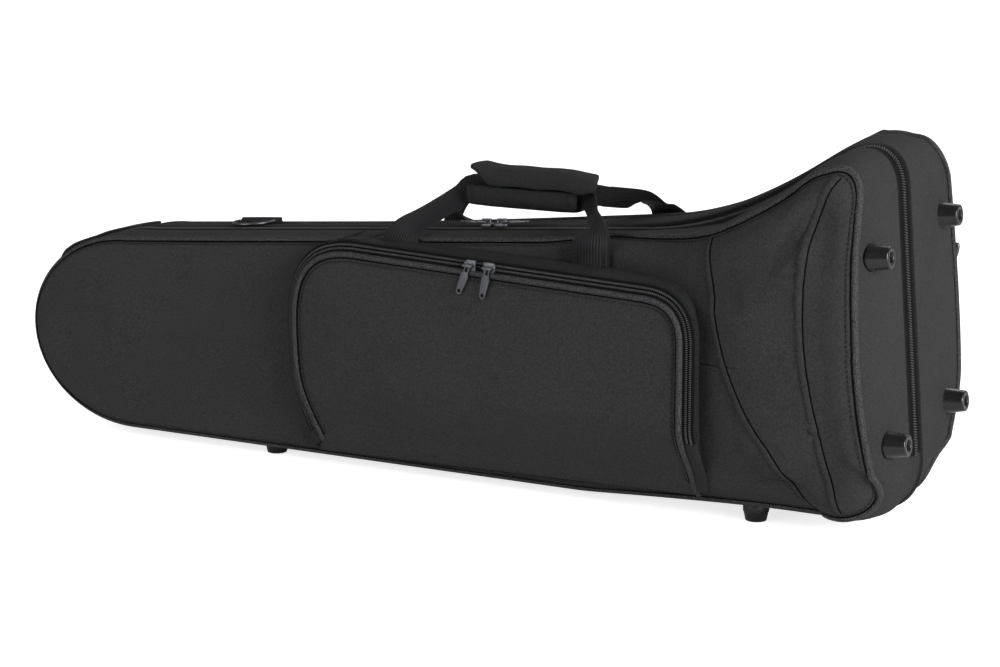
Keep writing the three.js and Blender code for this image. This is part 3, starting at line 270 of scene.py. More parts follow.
def lofted(
    name: str, sections: Sequence[Section], loop: bool = False, sharp_angle: float = FOLD_ANGLE, keep_uv: bool = True,
) -> Piece:
    """A surface through equal sections, formed from a grid, with a UV map in metres.

    Args:
        name: The object's name.
        sections: The closed sections along the path, each a list of points in metres.
        loop: Whether the last section joins the first; otherwise the ends are filled.
        sharp_angle: Folds over this many degrees stay sharp.
        keep_uv: Whether the map follows the surface; otherwise it is a box projection.

    Returns:
        The new object.
    """
    wide, deep = len(sections[0]), len(sections)
    along = deep if loop else deep - 1
    widths, lengths = [0.0], [0.0]
    middle = sections[deep // 2]
    for i in range(wide):
        widths.append(widths[-1] + (middle[(i + 1) % wide] - middle[i]).length)
    for j in range(along):
        a, b = sections[j], sections[(j + 1) % deep]
        lengths.append(lengths[-1] + sum((q - p).length for p, q in zip(a, b)) / wide)
    bm = bmesh.new()
    bmesh.ops.create_grid(bm, x_segments=wide, y_segments=along, size=1.0)
    uv = bm.loops.layers.uv.verify()
    places = {v: (round((v.co.x + 1) / 2 * wide), round((v.co.y + 1) / 2 * along)) for v in bm.verts}
    for face in bm.faces:
        for corner in face.loops:
            i, j = places[corner.vert]
            corner[uv].uv = (widths[i], lengths[j])
    for vert, (i, j) in places.items():
        vert.co = sections[j % deep][i % wide]
    closed_up(bm, not loop)
    if not keep_uv:
        box_mapped(bm)
    return made_object(name, bm, sharp_angle)


def box_mapped(bm: Mesh) -> None:
    """Maps each face flat along the axis it faces most, in metres, so that a weave keeps its scale.

    Args:
        bm: The mesh to map.
    """
    uv = bm.loops.layers.uv.verify()
    for face in bm.faces:
        size = [abs(c) for c in face.normal]
        axis = size.index(max(size))
        u, v = [(1, 2), (0, 2), (0, 1)][axis]
        for corner in face.loops:
            corner[uv].uv = (corner.vert.co[u], corner.vert.co[v])


def path_frames(path: Sequence[Vector], closed: bool, up: Ups) -> list[tuple]:
    """A point, its direction, side and up vector for each point of a path.

    Args:
        path: The points.
        closed: Whether the path closes on itself.
        up: One up vector, or one for each point.

    Returns:
        Tuples of point, along, side and up.
    """
    frames = []
    count = len(path)
    for k, point in enumerate(path):
        before = path[k - 1] if closed or k else path[0]
        after = path[(k + 1) % count] if closed or k < count - 1 else path[-1]
        along = (after - before).normalized()
        top = up if isinstance(up, Vector) else up[k]
        side = along.cross(top).normalized()
        frames.append((point, along, side, side.cross(along)))
    return frames


def swept(
    name: str, path: Sequence[Vector], up: Ups, section: Sequence[tuple[float, float]],
    closed: bool = False, sharp_angle: float = FOLD_ANGLE,
) -> Piece:
    """A closed section carried along a path.

    Args:
        name: The object's name.
        path: The points, in metres.
        up: The up vector, or one for each point.
        section: Corners as side and up distances in metres.
        closed: Whether the path closes on itself.
        sharp_angle: Folds over this many degrees stay sharp.

    Returns:
        The new object.
    """
    sections = [
        [point + side * a + top * b for a, b in section] for point, _, side, top in path_frames(path, closed, up)
    ]
    return lofted(name, sections, loop=closed, sharp_angle=sharp_angle)


def round_section(width: float, height: float, sides: int) -> Outline:
    """The corners of an oval section with a number of sides, as side and up distances in metres."""
    angles = [TURN * k / sides for k in range(sides)]
    return [(width / 2 * math.cos(a), height / 2 * math.sin(a)) for a in angles]


def webbing_section(width: float, thickness: float) -> Outline:
    """The corners of a flat band with rounded edges, as side and up distances in the unit of its sizes."""
    a, b, r = width / 2, thickness / 2, thickness * 0.35
    return [(-a + r, -b), (0, -b), (a - r, -b), (a, -b + r), (a, b - r), (a - r, b), (0, b), (-a + r, b),
            (-a, b - r), (-a, -b + r)]


def repeated_blocks(name: str, places: Iterable[Matrix], size: Vector, taper: float = 1) -> Piece:
    """Many small blocks in one object, such as stitches or zip teeth.

    Args:
        name: The object's name.
        places: A matrix for each block.
        size: The block's size in metres.
        taper: The width of the top as a share of the foot.

    Returns:
        The new object.
    """
    bm = bmesh.new()
    shape = Matrix.Diagonal(size).to_4x4()
    for place in places:
        made = bmesh.ops.create_cube(bm, size=1, matrix=shape)["verts"]
        for vert in made:
            if vert.co.z > 0:
                vert.co.x *= taper
                vert.co.y *= taper
        bmesh.ops.transform(bm, matrix=place, verts=made)
    return made_object(name, bm, sharp_angle=180)


def block_places(path: Sequence[Vector], up: Ups, closed: bool, shift: float = 0,
                 lift: float = 0) -> list[Matrix]:
    """A matrix at each point of a path, with X along it and Z up.

    Args:
        path: The points.
        up: The up vector or vectors.
        closed: Whether the path closes on itself.
        shift: Sideways distance in metres.
        lift: Upward distance in metres.

    Returns:
        The matrices.
    """
    places = []
    for point, along, side, top in path_frames(path, closed, up):
        rotation = Matrix((along, side, top)).transposed().to_4x4()
        places.append(Matrix.Translation(point + side * shift + top * lift) @ rotation)
    return places


def node_copy(node: str) -> Mesh:
    """The mesh of a CAD node, with its faces joined.

    Args:
        node: The CAD node.

    Returns:
        A new bmesh.
    """
    bm = bmesh.new()
    bm.from_mesh(frame["nodes"][node].data)
    bmesh.ops.remove_doubles(bm, verts=bm.verts, dist=CAD_WELD)
    return bm


def applied(piece: Piece) -> Piece:
    """Applies all modifiers of a piece to its mesh.

    Args:
        piece: The piece.

    Returns:
        The same piece.
    """
    graph = bpy.context.evaluated_depsgraph_get()
    mesh = bpy.data.meshes.new_from_object(piece.evaluated_get(graph))
    piece.modifiers.clear()
    piece.data = mesh
    return piece


def bevelled_copy(name: str, node: str, width: float, segments: int = 3) -> Piece:
    """A CAD node's shape with softly broken edges.

    Args:
        name: The new object's name.
        node: The CAD node it stands for.
        width: The bevel's width in metres.
        segments: The bevel's segments.

    Returns:
        The new object.
    """
    bm = node_copy(node)
    bmesh.ops.dissolve_limit(bm, angle_limit=math.radians(1), verts=bm.verts, edges=bm.edges)
    folds = [e for e in bm.edges if len(e.link_faces) == 2 and e.calc_face_angle(0) > math.radians(30)]
    bmesh.ops.bevel(bm, geom=folds, offset=width, offset_type="OFFSET", segments=segments, profile=0.5,
                    affect="EDGES", material=-1, clamp_overlap=True)
    bmesh.ops.recalc_face_normals(bm, faces=bm.faces)
    return made_object(name, bm, sharp_angle=35)


def foam_copy(name: str, node: str, voxel: float, rounds: int) -> Piece:
    """A CAD node's shape as soft foam: remeshed, with its edges rounded off.

    Args:
        name: The new object's name.
        node: The CAD node it stands for.
        voxel: The remesh size in metres.
        rounds: How many times the mesh is smoothed.

    Returns:
        The new object.
    """
    piece = made_object(name, node_copy(node))
    remesh = piece.modifiers.new("Remesh", "REMESH")
    remesh.mode = "VOXEL"
    remesh.voxel_size = voxel
    applied(piece)
    bm = bmesh.new()
    bm.from_mesh(piece.data)
    for _ in range(rounds):
        bmesh.ops.smooth_vert(bm, verts=bm.verts, factor=0.5, use_axis_x=True, use_axis_y=True, use_axis_z=True)
    bm.normal_update()
    box_mapped(bm)
    for face in bm.faces:
        face.smooth = True
    bm.to_mesh(piece.data)
    bm.free()
    return piece


def inflated(piece: Piece, pressure: float, cap: float) -> Piece:
    """Fills a piece like a cushion with a short cloth simulation.

    Args:
        piece: The piece, already remeshed.
        pressure: The cloth's pressure.
        cap: The farthest that a point may move, in metres.

    Returns:
        The same piece, with the result in its mesh.
    """
    start = [v.co.copy() for v in piece.data.vertices]
    cloth = piece.modifiers.new("Cloth", "CLOTH")
    cloth.settings.use_pressure = True
    cloth.settings.uniform_pressure_force = pressure
    cloth.settings.effector_weights.gravity = 0
    cloth.point_cache.frame_end = CUSHION_FRAMES
    scene = bpy.context.scene
    for number in range(1, CUSHION_FRAMES + 1):
        scene.frame_set(number)
    applied(piece)
    scene.frame_set(1)
    for vert, origin in zip(piece.data.vertices, start):
        move = vert.co - origin
        if move.length > cap:
            vert.co = origin + move.normalized() * cap
    return piece


def dressed(
    piece: Piece, finish: "Finish", body: Body | str, replaces: Sequence[str] = (),
) -> Piece:
    """Gives a piece its finish and hangs it on its body.

    Args:
        piece: The piece.
        finish: The finish.
        body: The body it moves with.
        replaces: The CAD nodes it stands for.

    Returns:
        The same piece.
    """
    piece.data.materials.clear()
    piece.data.materials.append(finish.material())
    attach(piece, body.value if isinstance(body, Body) else body)
    if replaces:
        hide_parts(*replaces)
    log.info("%s: %d faces", piece.name, len(piece.data.polygons))
    return piece


# Finishes


def add_node(tree: Tree, kind: str, inputs: dict | None = None, **settings: object) -> Node:
    """Adds a shader node with its settings and links.

    Args:
        tree: The material's node tree.
        kind: The node's type.
        inputs: Socket names or numbers with a value or a socket to link from.
        settings: Properties of the node.

    Returns:
        The new node.
    """
    made = tree.nodes.new(kind)
    for key, value in settings.items():
        setattr(made, key, value)
    for key, value in (inputs or {}).items():
        if isinstance(value, Socket):
            tree.links.new(value, made.inputs[key])
        else:
            made.inputs[key].default_value = value
    return made


@dataclass(frozen=True)
class Finish:
    """A surface finish, made into a material once."""

    name: str
    colour: int
    roughness: float
    shine: float = 0.5

    def material(self) -> bpy.types.Material:
        """The finish as a Blender material."""
        found = bpy.data.materials.get(self.name)
        return found if found else self.build()

    def build(self) -> bpy.types.Material:
        """Makes the material and its shader, then adds what the finish needs."""
        made = bpy.data.materials.new(self.name)
        made.use_nodes = True
        tree = made.node_tree
        shader = tree.nodes["Principled BSDF"]
        shader.inputs["Base Color"].default_value = linear(self.colour)
        shader.inputs["Roughness"].default_value = self.roughness
        shader.inputs["Specular IOR Level"].default_value = self.shine
        self.detail(tree, shader)
        return made

    def detail(self, tree: Tree, shader: Node) -> None:
        """Adds the finish's own pattern. The plain finish has none."""

    def thread_wave(self, tree: Tree, source: Socket, pitch_mm: float) -> Node:
        """A sine wave along one coordinate, one period for each thread.

        Args:
            tree: The material's node tree.
            source: The coordinate, in metres.
            pitch_mm: The distance between threads.

        Returns:
            The node whose output is the wave.
        """
        phase = add_node(tree, "ShaderNodeMath", {0: source, 1: TURN / (pitch_mm * MM)}, operation="MULTIPLY")
        return add_node(tree, "ShaderNodeMath", {0: phase.outputs[0]}, operation="SINE")

    def coloured(self, tree: Tree, shader: Node, factor: Socket, light: int) -> None:
        """Mixes the base colour with a lighter one.

        Args:
            tree: The material's node tree.
            shader: The Principled shader.
            factor: The share of the lighter colour.
            light: The lighter colour.
        """
        blend = add_node(tree, "ShaderNodeMix", {0: factor, 6: linear(self.colour), 7: linear(light)},
                         data_type="RGBA")
        tree.links.new(blend.outputs[2], shader.inputs["Base Color"])


@dataclass(frozen=True)
class WovenNylon(Finish):
    """Plain-woven 600 denier nylon: matt, with a fine grain of lit and shaded threads."""

    light: int = 0x3B3B3C
    pitch_mm: float = 1.3  # real threads lie 0.6 mm apart; drawn coarser so that they show
    grain_mm: float = 1.5
    depth_mm: float = 0.3
    # lighter on the weave's raised threads and darker between them: painted light and shade
    weave_tone: tuple[float, float] = (0.16, -0.05)
    grain_tone: float = 1.5
    patch_tone: float = 0.25
    dark_share: float = 0.45

    def detail(self, tree: Tree, shader: Node) -> None:
        """Weave from two crossed waves, grain from fine noise, and a slow change of tone."""
        place = add_node(tree, "ShaderNodeTexCoord")
        split = add_node(tree, "ShaderNodeSeparateXYZ", {0: place.outputs["UV"]})
        warp = self.thread_wave(tree, split.outputs[0], self.pitch_mm)
        weft = self.thread_wave(tree, split.outputs[1], self.pitch_mm)
        weave = add_node(tree, "ShaderNodeMath", {0: warp.outputs[0], 1: weft.outputs[0]}, operation="MULTIPLY")
        grain = add_node(tree, "ShaderNodeTexNoise",
                         {"Vector": place.outputs["Object"], "Scale": 1 / (self.grain_mm * MM), "Detail": 3.0})
        tone = add_node(tree, "ShaderNodeTexNoise",
                        {"Vector": place.outputs["Object"], "Scale": 9.0, "Detail": 2.0})
        threads, shade = self.weave_tone
        # painted light and shade: the weave's raised threads lighter, the hollows darker
        lit = add_node(tree, "ShaderNodeMath", {0: weave.outputs[0], 1: threads, 2: shade}, operation="MULTIPLY_ADD")
        fine = add_node(tree, "ShaderNodeMath", {0: grain.outputs["Fac"], 1: self.grain_tone, 2: lit.outputs[0]},
                        operation="MULTIPLY_ADD")
        slow = add_node(tree, "ShaderNodeMath", {0: tone.outputs["Fac"], 1: self.patch_tone, 2: fine.outputs[0]},
                        operation="MULTIPLY_ADD")
        share = add_node(tree, "ShaderNodeMath", {0: slow.outputs[0], 1: self.dark_share}, operation="SUBTRACT",
                         use_clamp=True)
        self.coloured(tree, shader, share.outputs[0], self.light)
        height = add_node(tree, "ShaderNodeMath", {0: grain.outputs["Fac"], 1: 0.8, 2: weave.outputs[0]},
                          operation="MULTIPLY_ADD")
        bump = add_node(tree, "ShaderNodeBump",
                        {"Height": height.outputs[0], "Distance": self.depth_mm * MM, "Strength": 0.7})
        tree.links.new(bump.outputs[0], shader.inputs["Normal"])


@dataclass(frozen=True)
class RibbedWebbing(Finish):
    """Polypropylene webbing: ribs along its length, fine picks across them, a painted highlight where they rise and a
    faint sheen.
    """

    light: int = 0x222326
    rib_mm: float = 1.5
    pick_mm: float = 1.6
    depth_mm: float = 0.5

    def detail(self, tree: Tree, shader: Node) -> None:
        """Ribs across the width and picks along the length, both from the piece's own map."""
        place = add_node(tree, "ShaderNodeTexCoord")
        split = add_node(tree, "ShaderNodeSeparateXYZ", {0: place.outputs["UV"]})
        rib = self.thread_wave(tree, split.outputs[0], self.rib_mm)
        pick = self.thread_wave(tree, split.outputs[1], self.pick_mm)
        height = add_node(tree, "ShaderNodeMath", {0: pick.outputs[0], 1: 0.25, 2: rib.outputs[0]},
                          operation="MULTIPLY_ADD")
        # painted highlight: the colour is lighter where the ribs and picks rise
        share = add_node(tree, "ShaderNodeMath", {0: height.outputs[0], 1: 0.35, 2: 0.35},
                         operation="MULTIPLY_ADD", use_clamp=True)
        self.coloured(tree, shader, share.outputs[0], self.light)
        bump = add_node(tree, "ShaderNodeBump",
                        {"Height": height.outputs[0], "Distance": self.depth_mm * MM, "Strength": 0.8})
        tree.links.new(bump.outputs[0], shader.inputs["Normal"])
        shader.inputs["Sheen Weight"].default_value = 0.03


@dataclass(frozen=True)
class TwillTape(Finish):
    """Zip tape: a tight diagonal twill, flat and dark, with painted light and shade along its raised lines."""

    light: int = 0x111214
    pitch_mm: float = 1.4
    depth_mm: float = 0.2

    def detail(self, tree: Tree, shader: Node) -> None:
        """One wave along the diagonal of the piece's map."""
        place = add_node(tree, "ShaderNodeTexCoord")
        split = add_node(tree, "ShaderNodeSeparateXYZ", {0: place.outputs["UV"]})
        both = add_node(tree, "ShaderNodeMath", {0: split.outputs[0], 1: split.outputs[1]}, operation="ADD")
        twill = self.thread_wave(tree, both.outputs[0], self.pitch_mm)
        # painted light and shade: lighter on the twill's raised lines
        share = add_node(tree, "ShaderNodeMath", {0: twill.outputs[0], 1: 0.3, 2: 0.3},
                         operation="MULTIPLY_ADD", use_clamp=True)
        self.coloured(tree, shader, share.outputs[0], self.light)
        bump = add_node(tree, "ShaderNodeBump",
                        {"Height": twill.outputs[0], "Distance": self.depth_mm * MM, "Strength": 0.6})
        tree.links.new(bump.outputs[0], shader.inputs["Normal"])


@dataclass(frozen=True)
class TwillCord(TwillTape):
    """Piping: a cord wrapped in coarse twill, with fine bright speckles painted as highlights where its raised
    threads catch the light.
    """

    light: int = 0x3E3F41
    speck_mm: float = 1.1
    depth_mm: float = 0.5

    def detail(self, tree: Tree, shader: Node) -> None:
        """Small bright threads between dark ones, painted as highlights."""
        place = add_node(tree, "ShaderNodeTexCoord")
        speck = add_node(tree, "ShaderNodeTexNoise",
                         {"Vector": place.outputs["Object"], "Scale": 1 / (self.speck_mm * MM), "Detail": 1.0})
        # painted highlight: bright specks on the raised threads
        share = add_node(tree, "ShaderNodeMath", {0: speck.outputs["Fac"], 1: 3.6, 2: -1.45},
                         operation="MULTIPLY_ADD", use_clamp=True)
        self.coloured(tree, shader, share.outputs[0], self.light)
        bump = add_node(tree, "ShaderNodeBump",
                        {"Height": share.outputs[0], "Distance": self.depth_mm * MM, "Strength": 0.6})
        tree.links.new(bump.outputs[0], shader.inputs["Normal"])


@dataclass(frozen=True)
class Plush(Finish):
    """Short-pile plush: the pile catches light at its edges and lies unevenly."""

    light: int = 0x2A2B30
    pile_mm: float = 2.5

    def detail(self, tree: Tree, shader: Node) -> None:
        """Pile from fine noise and brushed patches from coarse noise."""
        place = add_node(tree, "ShaderNodeTexCoord")
        pile = add_node(tree, "ShaderNodeTexNoise",
                        {"Vector": place.outputs["Object"], "Scale": 1 / (self.pile_mm * MM), "Detail": 4.0})
        patch = add_node(tree, "ShaderNodeTexNoise",
                         {"Vector": place.outputs["Object"], "Scale": 14.0, "Detail": 3.0})
        share = add_node(tree, "ShaderNodeMath", {0: pile.outputs["Fac"], 1: patch.outputs["Fac"]},
                         operation="MULTIPLY", use_clamp=True)
        self.coloured(tree, shader, share.outputs[0], self.light)
        bump = add_node(tree, "ShaderNodeBump",
                        {"Height": pile.outputs["Fac"], "Distance": 0.0006, "Strength": 0.8})
        tree.links.new(bump.outputs[0], shader.inputs["Normal"])
        shader.inputs["Sheen Weight"].default_value = 0.2
        shader.inputs["Sheen Roughness"].default_value = 0.4


@dataclass(frozen=True)
class MouldedRubber(Finish):
    """Injection-moulded PVC feet: black and glossy, slightly scuffed where they meet the ground."""

    coat: float = 0.3
    scuff_mm: float = 3.0

    def detail(self, tree: Tree, shader: Node) -> None:
        """Scuffs that dull the gloss in places."""
        place = add_node(tree, "ShaderNodeTexCoord")
        scuff = add_node(tree, "ShaderNodeTexNoise",
                         {"Vector": place.outputs["Object"], "Scale": 1 / (self.scuff_mm * MM), "Detail": 4.0})
        rough = add_node(tree, "ShaderNodeMath", {0: scuff.outputs["Fac"], 1: 0.3, 2: self.roughness - 0.1},
                         operation="MULTIPLY_ADD", use_clamp=True)
        tree.links.new(rough.outputs[0], shader.inputs["Roughness"])
        shader.inputs["Coat Weight"].default_value = self.coat
        shader.inputs["Coat Roughness"].default_value = 0.2


@dataclass(frozen=True)
class GunmetalPlating(Finish):
    """Gunmetal plating over die-cast zinc or steel wire: dark grey metal with fine handling marks."""

    mark_mm: float = 1.2

    def detail(self, tree: Tree, shader: Node) -> None:
        """Metal with uneven polish."""
        place = add_node(tree, "ShaderNodeTexCoord")
        marks = add_node(tree, "ShaderNodeTexNoise",
                         {"Vector": place.outputs["Object"], "Scale": 1 / (self.mark_mm * MM), "Detail": 4.0})
        rough = add_node(tree, "ShaderNodeMath", {0: marks.outputs["Fac"], 1: 0.3, 2: self.roughness - 0.15},
                         operation="MULTIPLY_ADD", use_clamp=True)
        tree.links.new(rough.outputs[0], shader.inputs["Roughness"])
        shader.inputs["Metallic"].default_value = 1.0


@dataclass(frozen=True)
class PolishedPolyester(Finish):
    """Extruded polyester: zip coils and bonded sewing thread, smooth with a small highlight."""

    light: int = 0x56585A

    def detail(self, tree: Tree, shader: Node) -> None:
        """A little tone from piece to piece."""
        place = add_node(tree, "ShaderNodeTexCoord")
        tone = add_node(tree, "ShaderNodeTexNoise", {"Vector": place.outputs["Object"], "Scale": 260.0})
        self.coloured(tree, shader, tone.outputs["Fac"], self.light)


COVER_NYLON = WovenNylon("woven_nylon_cover", 0x1B1B1B, 0.85, 0.22)
# Painted shade: the cover's nylon made darker for the pocket's recessed side wall, the fold along the foot, its spine
# and the covers of the pocket zip's ends.
WALL_NYLON = WovenNylon("woven_nylon_painted_shade", 0x141415, 0.85, 0.2, light=0x2E2F30)
PIPING_TWILL = TwillCord("twill_piping", 0x101011, 0.6, 0.3)
PAD_NYLON = WovenNylon("woven_nylon_grip", 0x121213, 0.8, 0.25, light=0x2A2B2C)
WEBBING = RibbedWebbing("polypropylene_webbing", 0x0B0B0C, 0.6, 0.2)
ZIP_TAPE = TwillTape("polyester_zip_tape", 0x060607, 0.8, 0.1)
ZIP_COIL = PolishedPolyester("polyester_zip_coil", 0x1A1A1B, 0.32, 0.5, light=0x48494A)
THREAD = PolishedPolyester("bonded_sewing_thread", 0x0A0A0A, 0.6, 0.2, light=0x1C1C1D)
# A dark tube laid in the creases beside piping and along seams: painted shadow, not a piece of cloth.
SHADOW_FOLD = PolishedPolyester("painted_crease_shadow", 0x0A0A0B, 1.0, 0.0, light=0x0E0E0F)
LINING_PLUSH = Plush("short_pile_plush", 0x16171A, 0.95, 0.2)
FOOT_PVC = MouldedRubber("moulded_pvc_foot", 0x020203, 0.25, 0.4)
GUNMETAL = GunmetalPlating("gunmetal_plating", 0x5C5D60, 0.38)


# The case's form


@dataclass(frozen=True)
class Half:
    """Sizes of one half shell in millimetres: depths, flare, swelling, the low corner and the zip's tilt."""

    body: Body
    sign: int
    slim: float
    bell: float
    flare_from: float
    flare_to: float
    swell: float
    end_swell: float
    corner_power: float
    corner_reach: float
    corner_spread: float
    low_reach: float
    low_power: float
    piping_share: float
    valley: float
    tilt: tuple[tuple[float, float], ...]

    def flare(self, x: float) -> float:
        """How far the half has flared at a distance from the nose."""
        return smoothstep(x, self.flare_from, self.flare_to)

    def depth(self, x: float) -> float:
        """Depth of the half's face behind the parting plane."""
        return mix(self.slim, self.bell, self.flare(x))

    def named(self, piece: str) -> str:
        """A piece's name with the half it belongs to."""
        return f"{'front' if self.sign < 0 else 'back'}_{piece}"


FRONT = Half(
    Body.FRONT, -1, slim=60, bell=114, flare_from=640, flare_to=860, swell=0, end_swell=0, corner_power=2.4,
    corner_reach=80, corner_spread=0.8, low_reach=60, low_power=3.9, piping_share=1, valley=3.5,
    tilt=((0, 3), (16, 9), (45, 6), (60, 2.5), (90, 1.5), (200, 1.5)),
)
BACK = Half(
    Body.BACK, 1, slim=64, bell=160, flare_from=330, flare_to=900, swell=8, end_swell=3, corner_power=2.0,
    corner_reach=152, corner_spread=0.55, low_reach=96, low_power=3.0, piping_share=0.6, valley=0,
    tilt=((0, 3), (16, -4), (45, -3.5), (100, 0), (200, 0)),
)


@dataclass(frozen=True)
class Sides:
    """One size of the rounded edge: in the slim part, and at the foot, the crown and the end of the bell part."""

    slim: float
    foot: float
    crown: float
    end: float

    def bell(self, shares: tuple[float, float, float], end: float) -> float:
        """The size in the bell part, by how much a place faces its end, foot and crown."""
        return shares[0] * end + shares[1] * self.foot + shares[2] * self.crown


# How far the rounded edge comes in over the face, how blunt it is there and inside the piping, and how far in the
# piping runs.
EDGE_REACH = Sides(slim=12, foot=120, crown=90, end=60)
EDGE_POWER = Sides(slim=2.4, foot=2, crown=3.2, end=4.5)
PANEL_POWER = Sides(slim=2.4, foot=2.2, crown=3.2, end=3.6)
PIPING = Sides(slim=5, foot=14, crown=13, end=13)


@dataclass(frozen=True)
class Spot:
    """A place on the outline, with the way to the middle of the face and the way out."""

    point: Vector
    way: Vector
    reach: float
    slant: float
    facing: Vector
    part: Part

    def shares(self) -> tuple[float, float, float]:
        """How much the place faces the bell end, the foot and the crown."""
        total = abs(self.facing.x) + abs(self.facing.y)
        end, foot = max(self.facing.x, 0) / total, max(-self.facing.y, 0) / total
        return end, foot, 1 - end - foot


@dataclass(frozen=True)
class Rounding:
    """The rounded edge at one place: its depth, its reach over the face, its bluntness and swelling."""

    depth: float
    middle_depth: float
    reach: float
    power: float
    swell: float
    shrink: float
    full: tuple[float, float]
    piped: float
    padding: float = 34

    def at(self, angle: float) -> tuple[float, float]:
        """Inset and depth at an angle of the rounding; the panel inside the piping is full, without a hollow."""
        power = 2 / self.power
        came_in = self.reach * (1 - max(math.cos(angle), 0) ** power)
        depth = self.depth * math.sin(angle) ** power
        reach, blunt = self.full
        fuller = self.depth * (1 - max(1 - came_in / reach, 0) ** blunt) ** (1 / blunt)
        depth = mix(depth, max(fuller, depth), smoothstep(came_in, self.piped, self.piped + self.padding))
        return self.shrink + came_in - self.swell * math.sin(angle * 2), depth

    def angle_at_inset(self, inset: float) -> float:
        """The angle where the rounding has come in by a distance."""
        return math.acos((1 - inset / self.reach) ** (self.power / 2))

    def angle_at_depth(self, depth: float) -> float:
        """The angle where the rounding has reached a depth."""
        return math.asin(min(depth / self.depth, 1) ** (self.power / 2))

    def face_depth(self, share: float) -> float:
        """Depth of the face a share of the way to its middle line."""
        return mix(self.depth, self.middle_depth, 1 - (1 - share) ** 2)


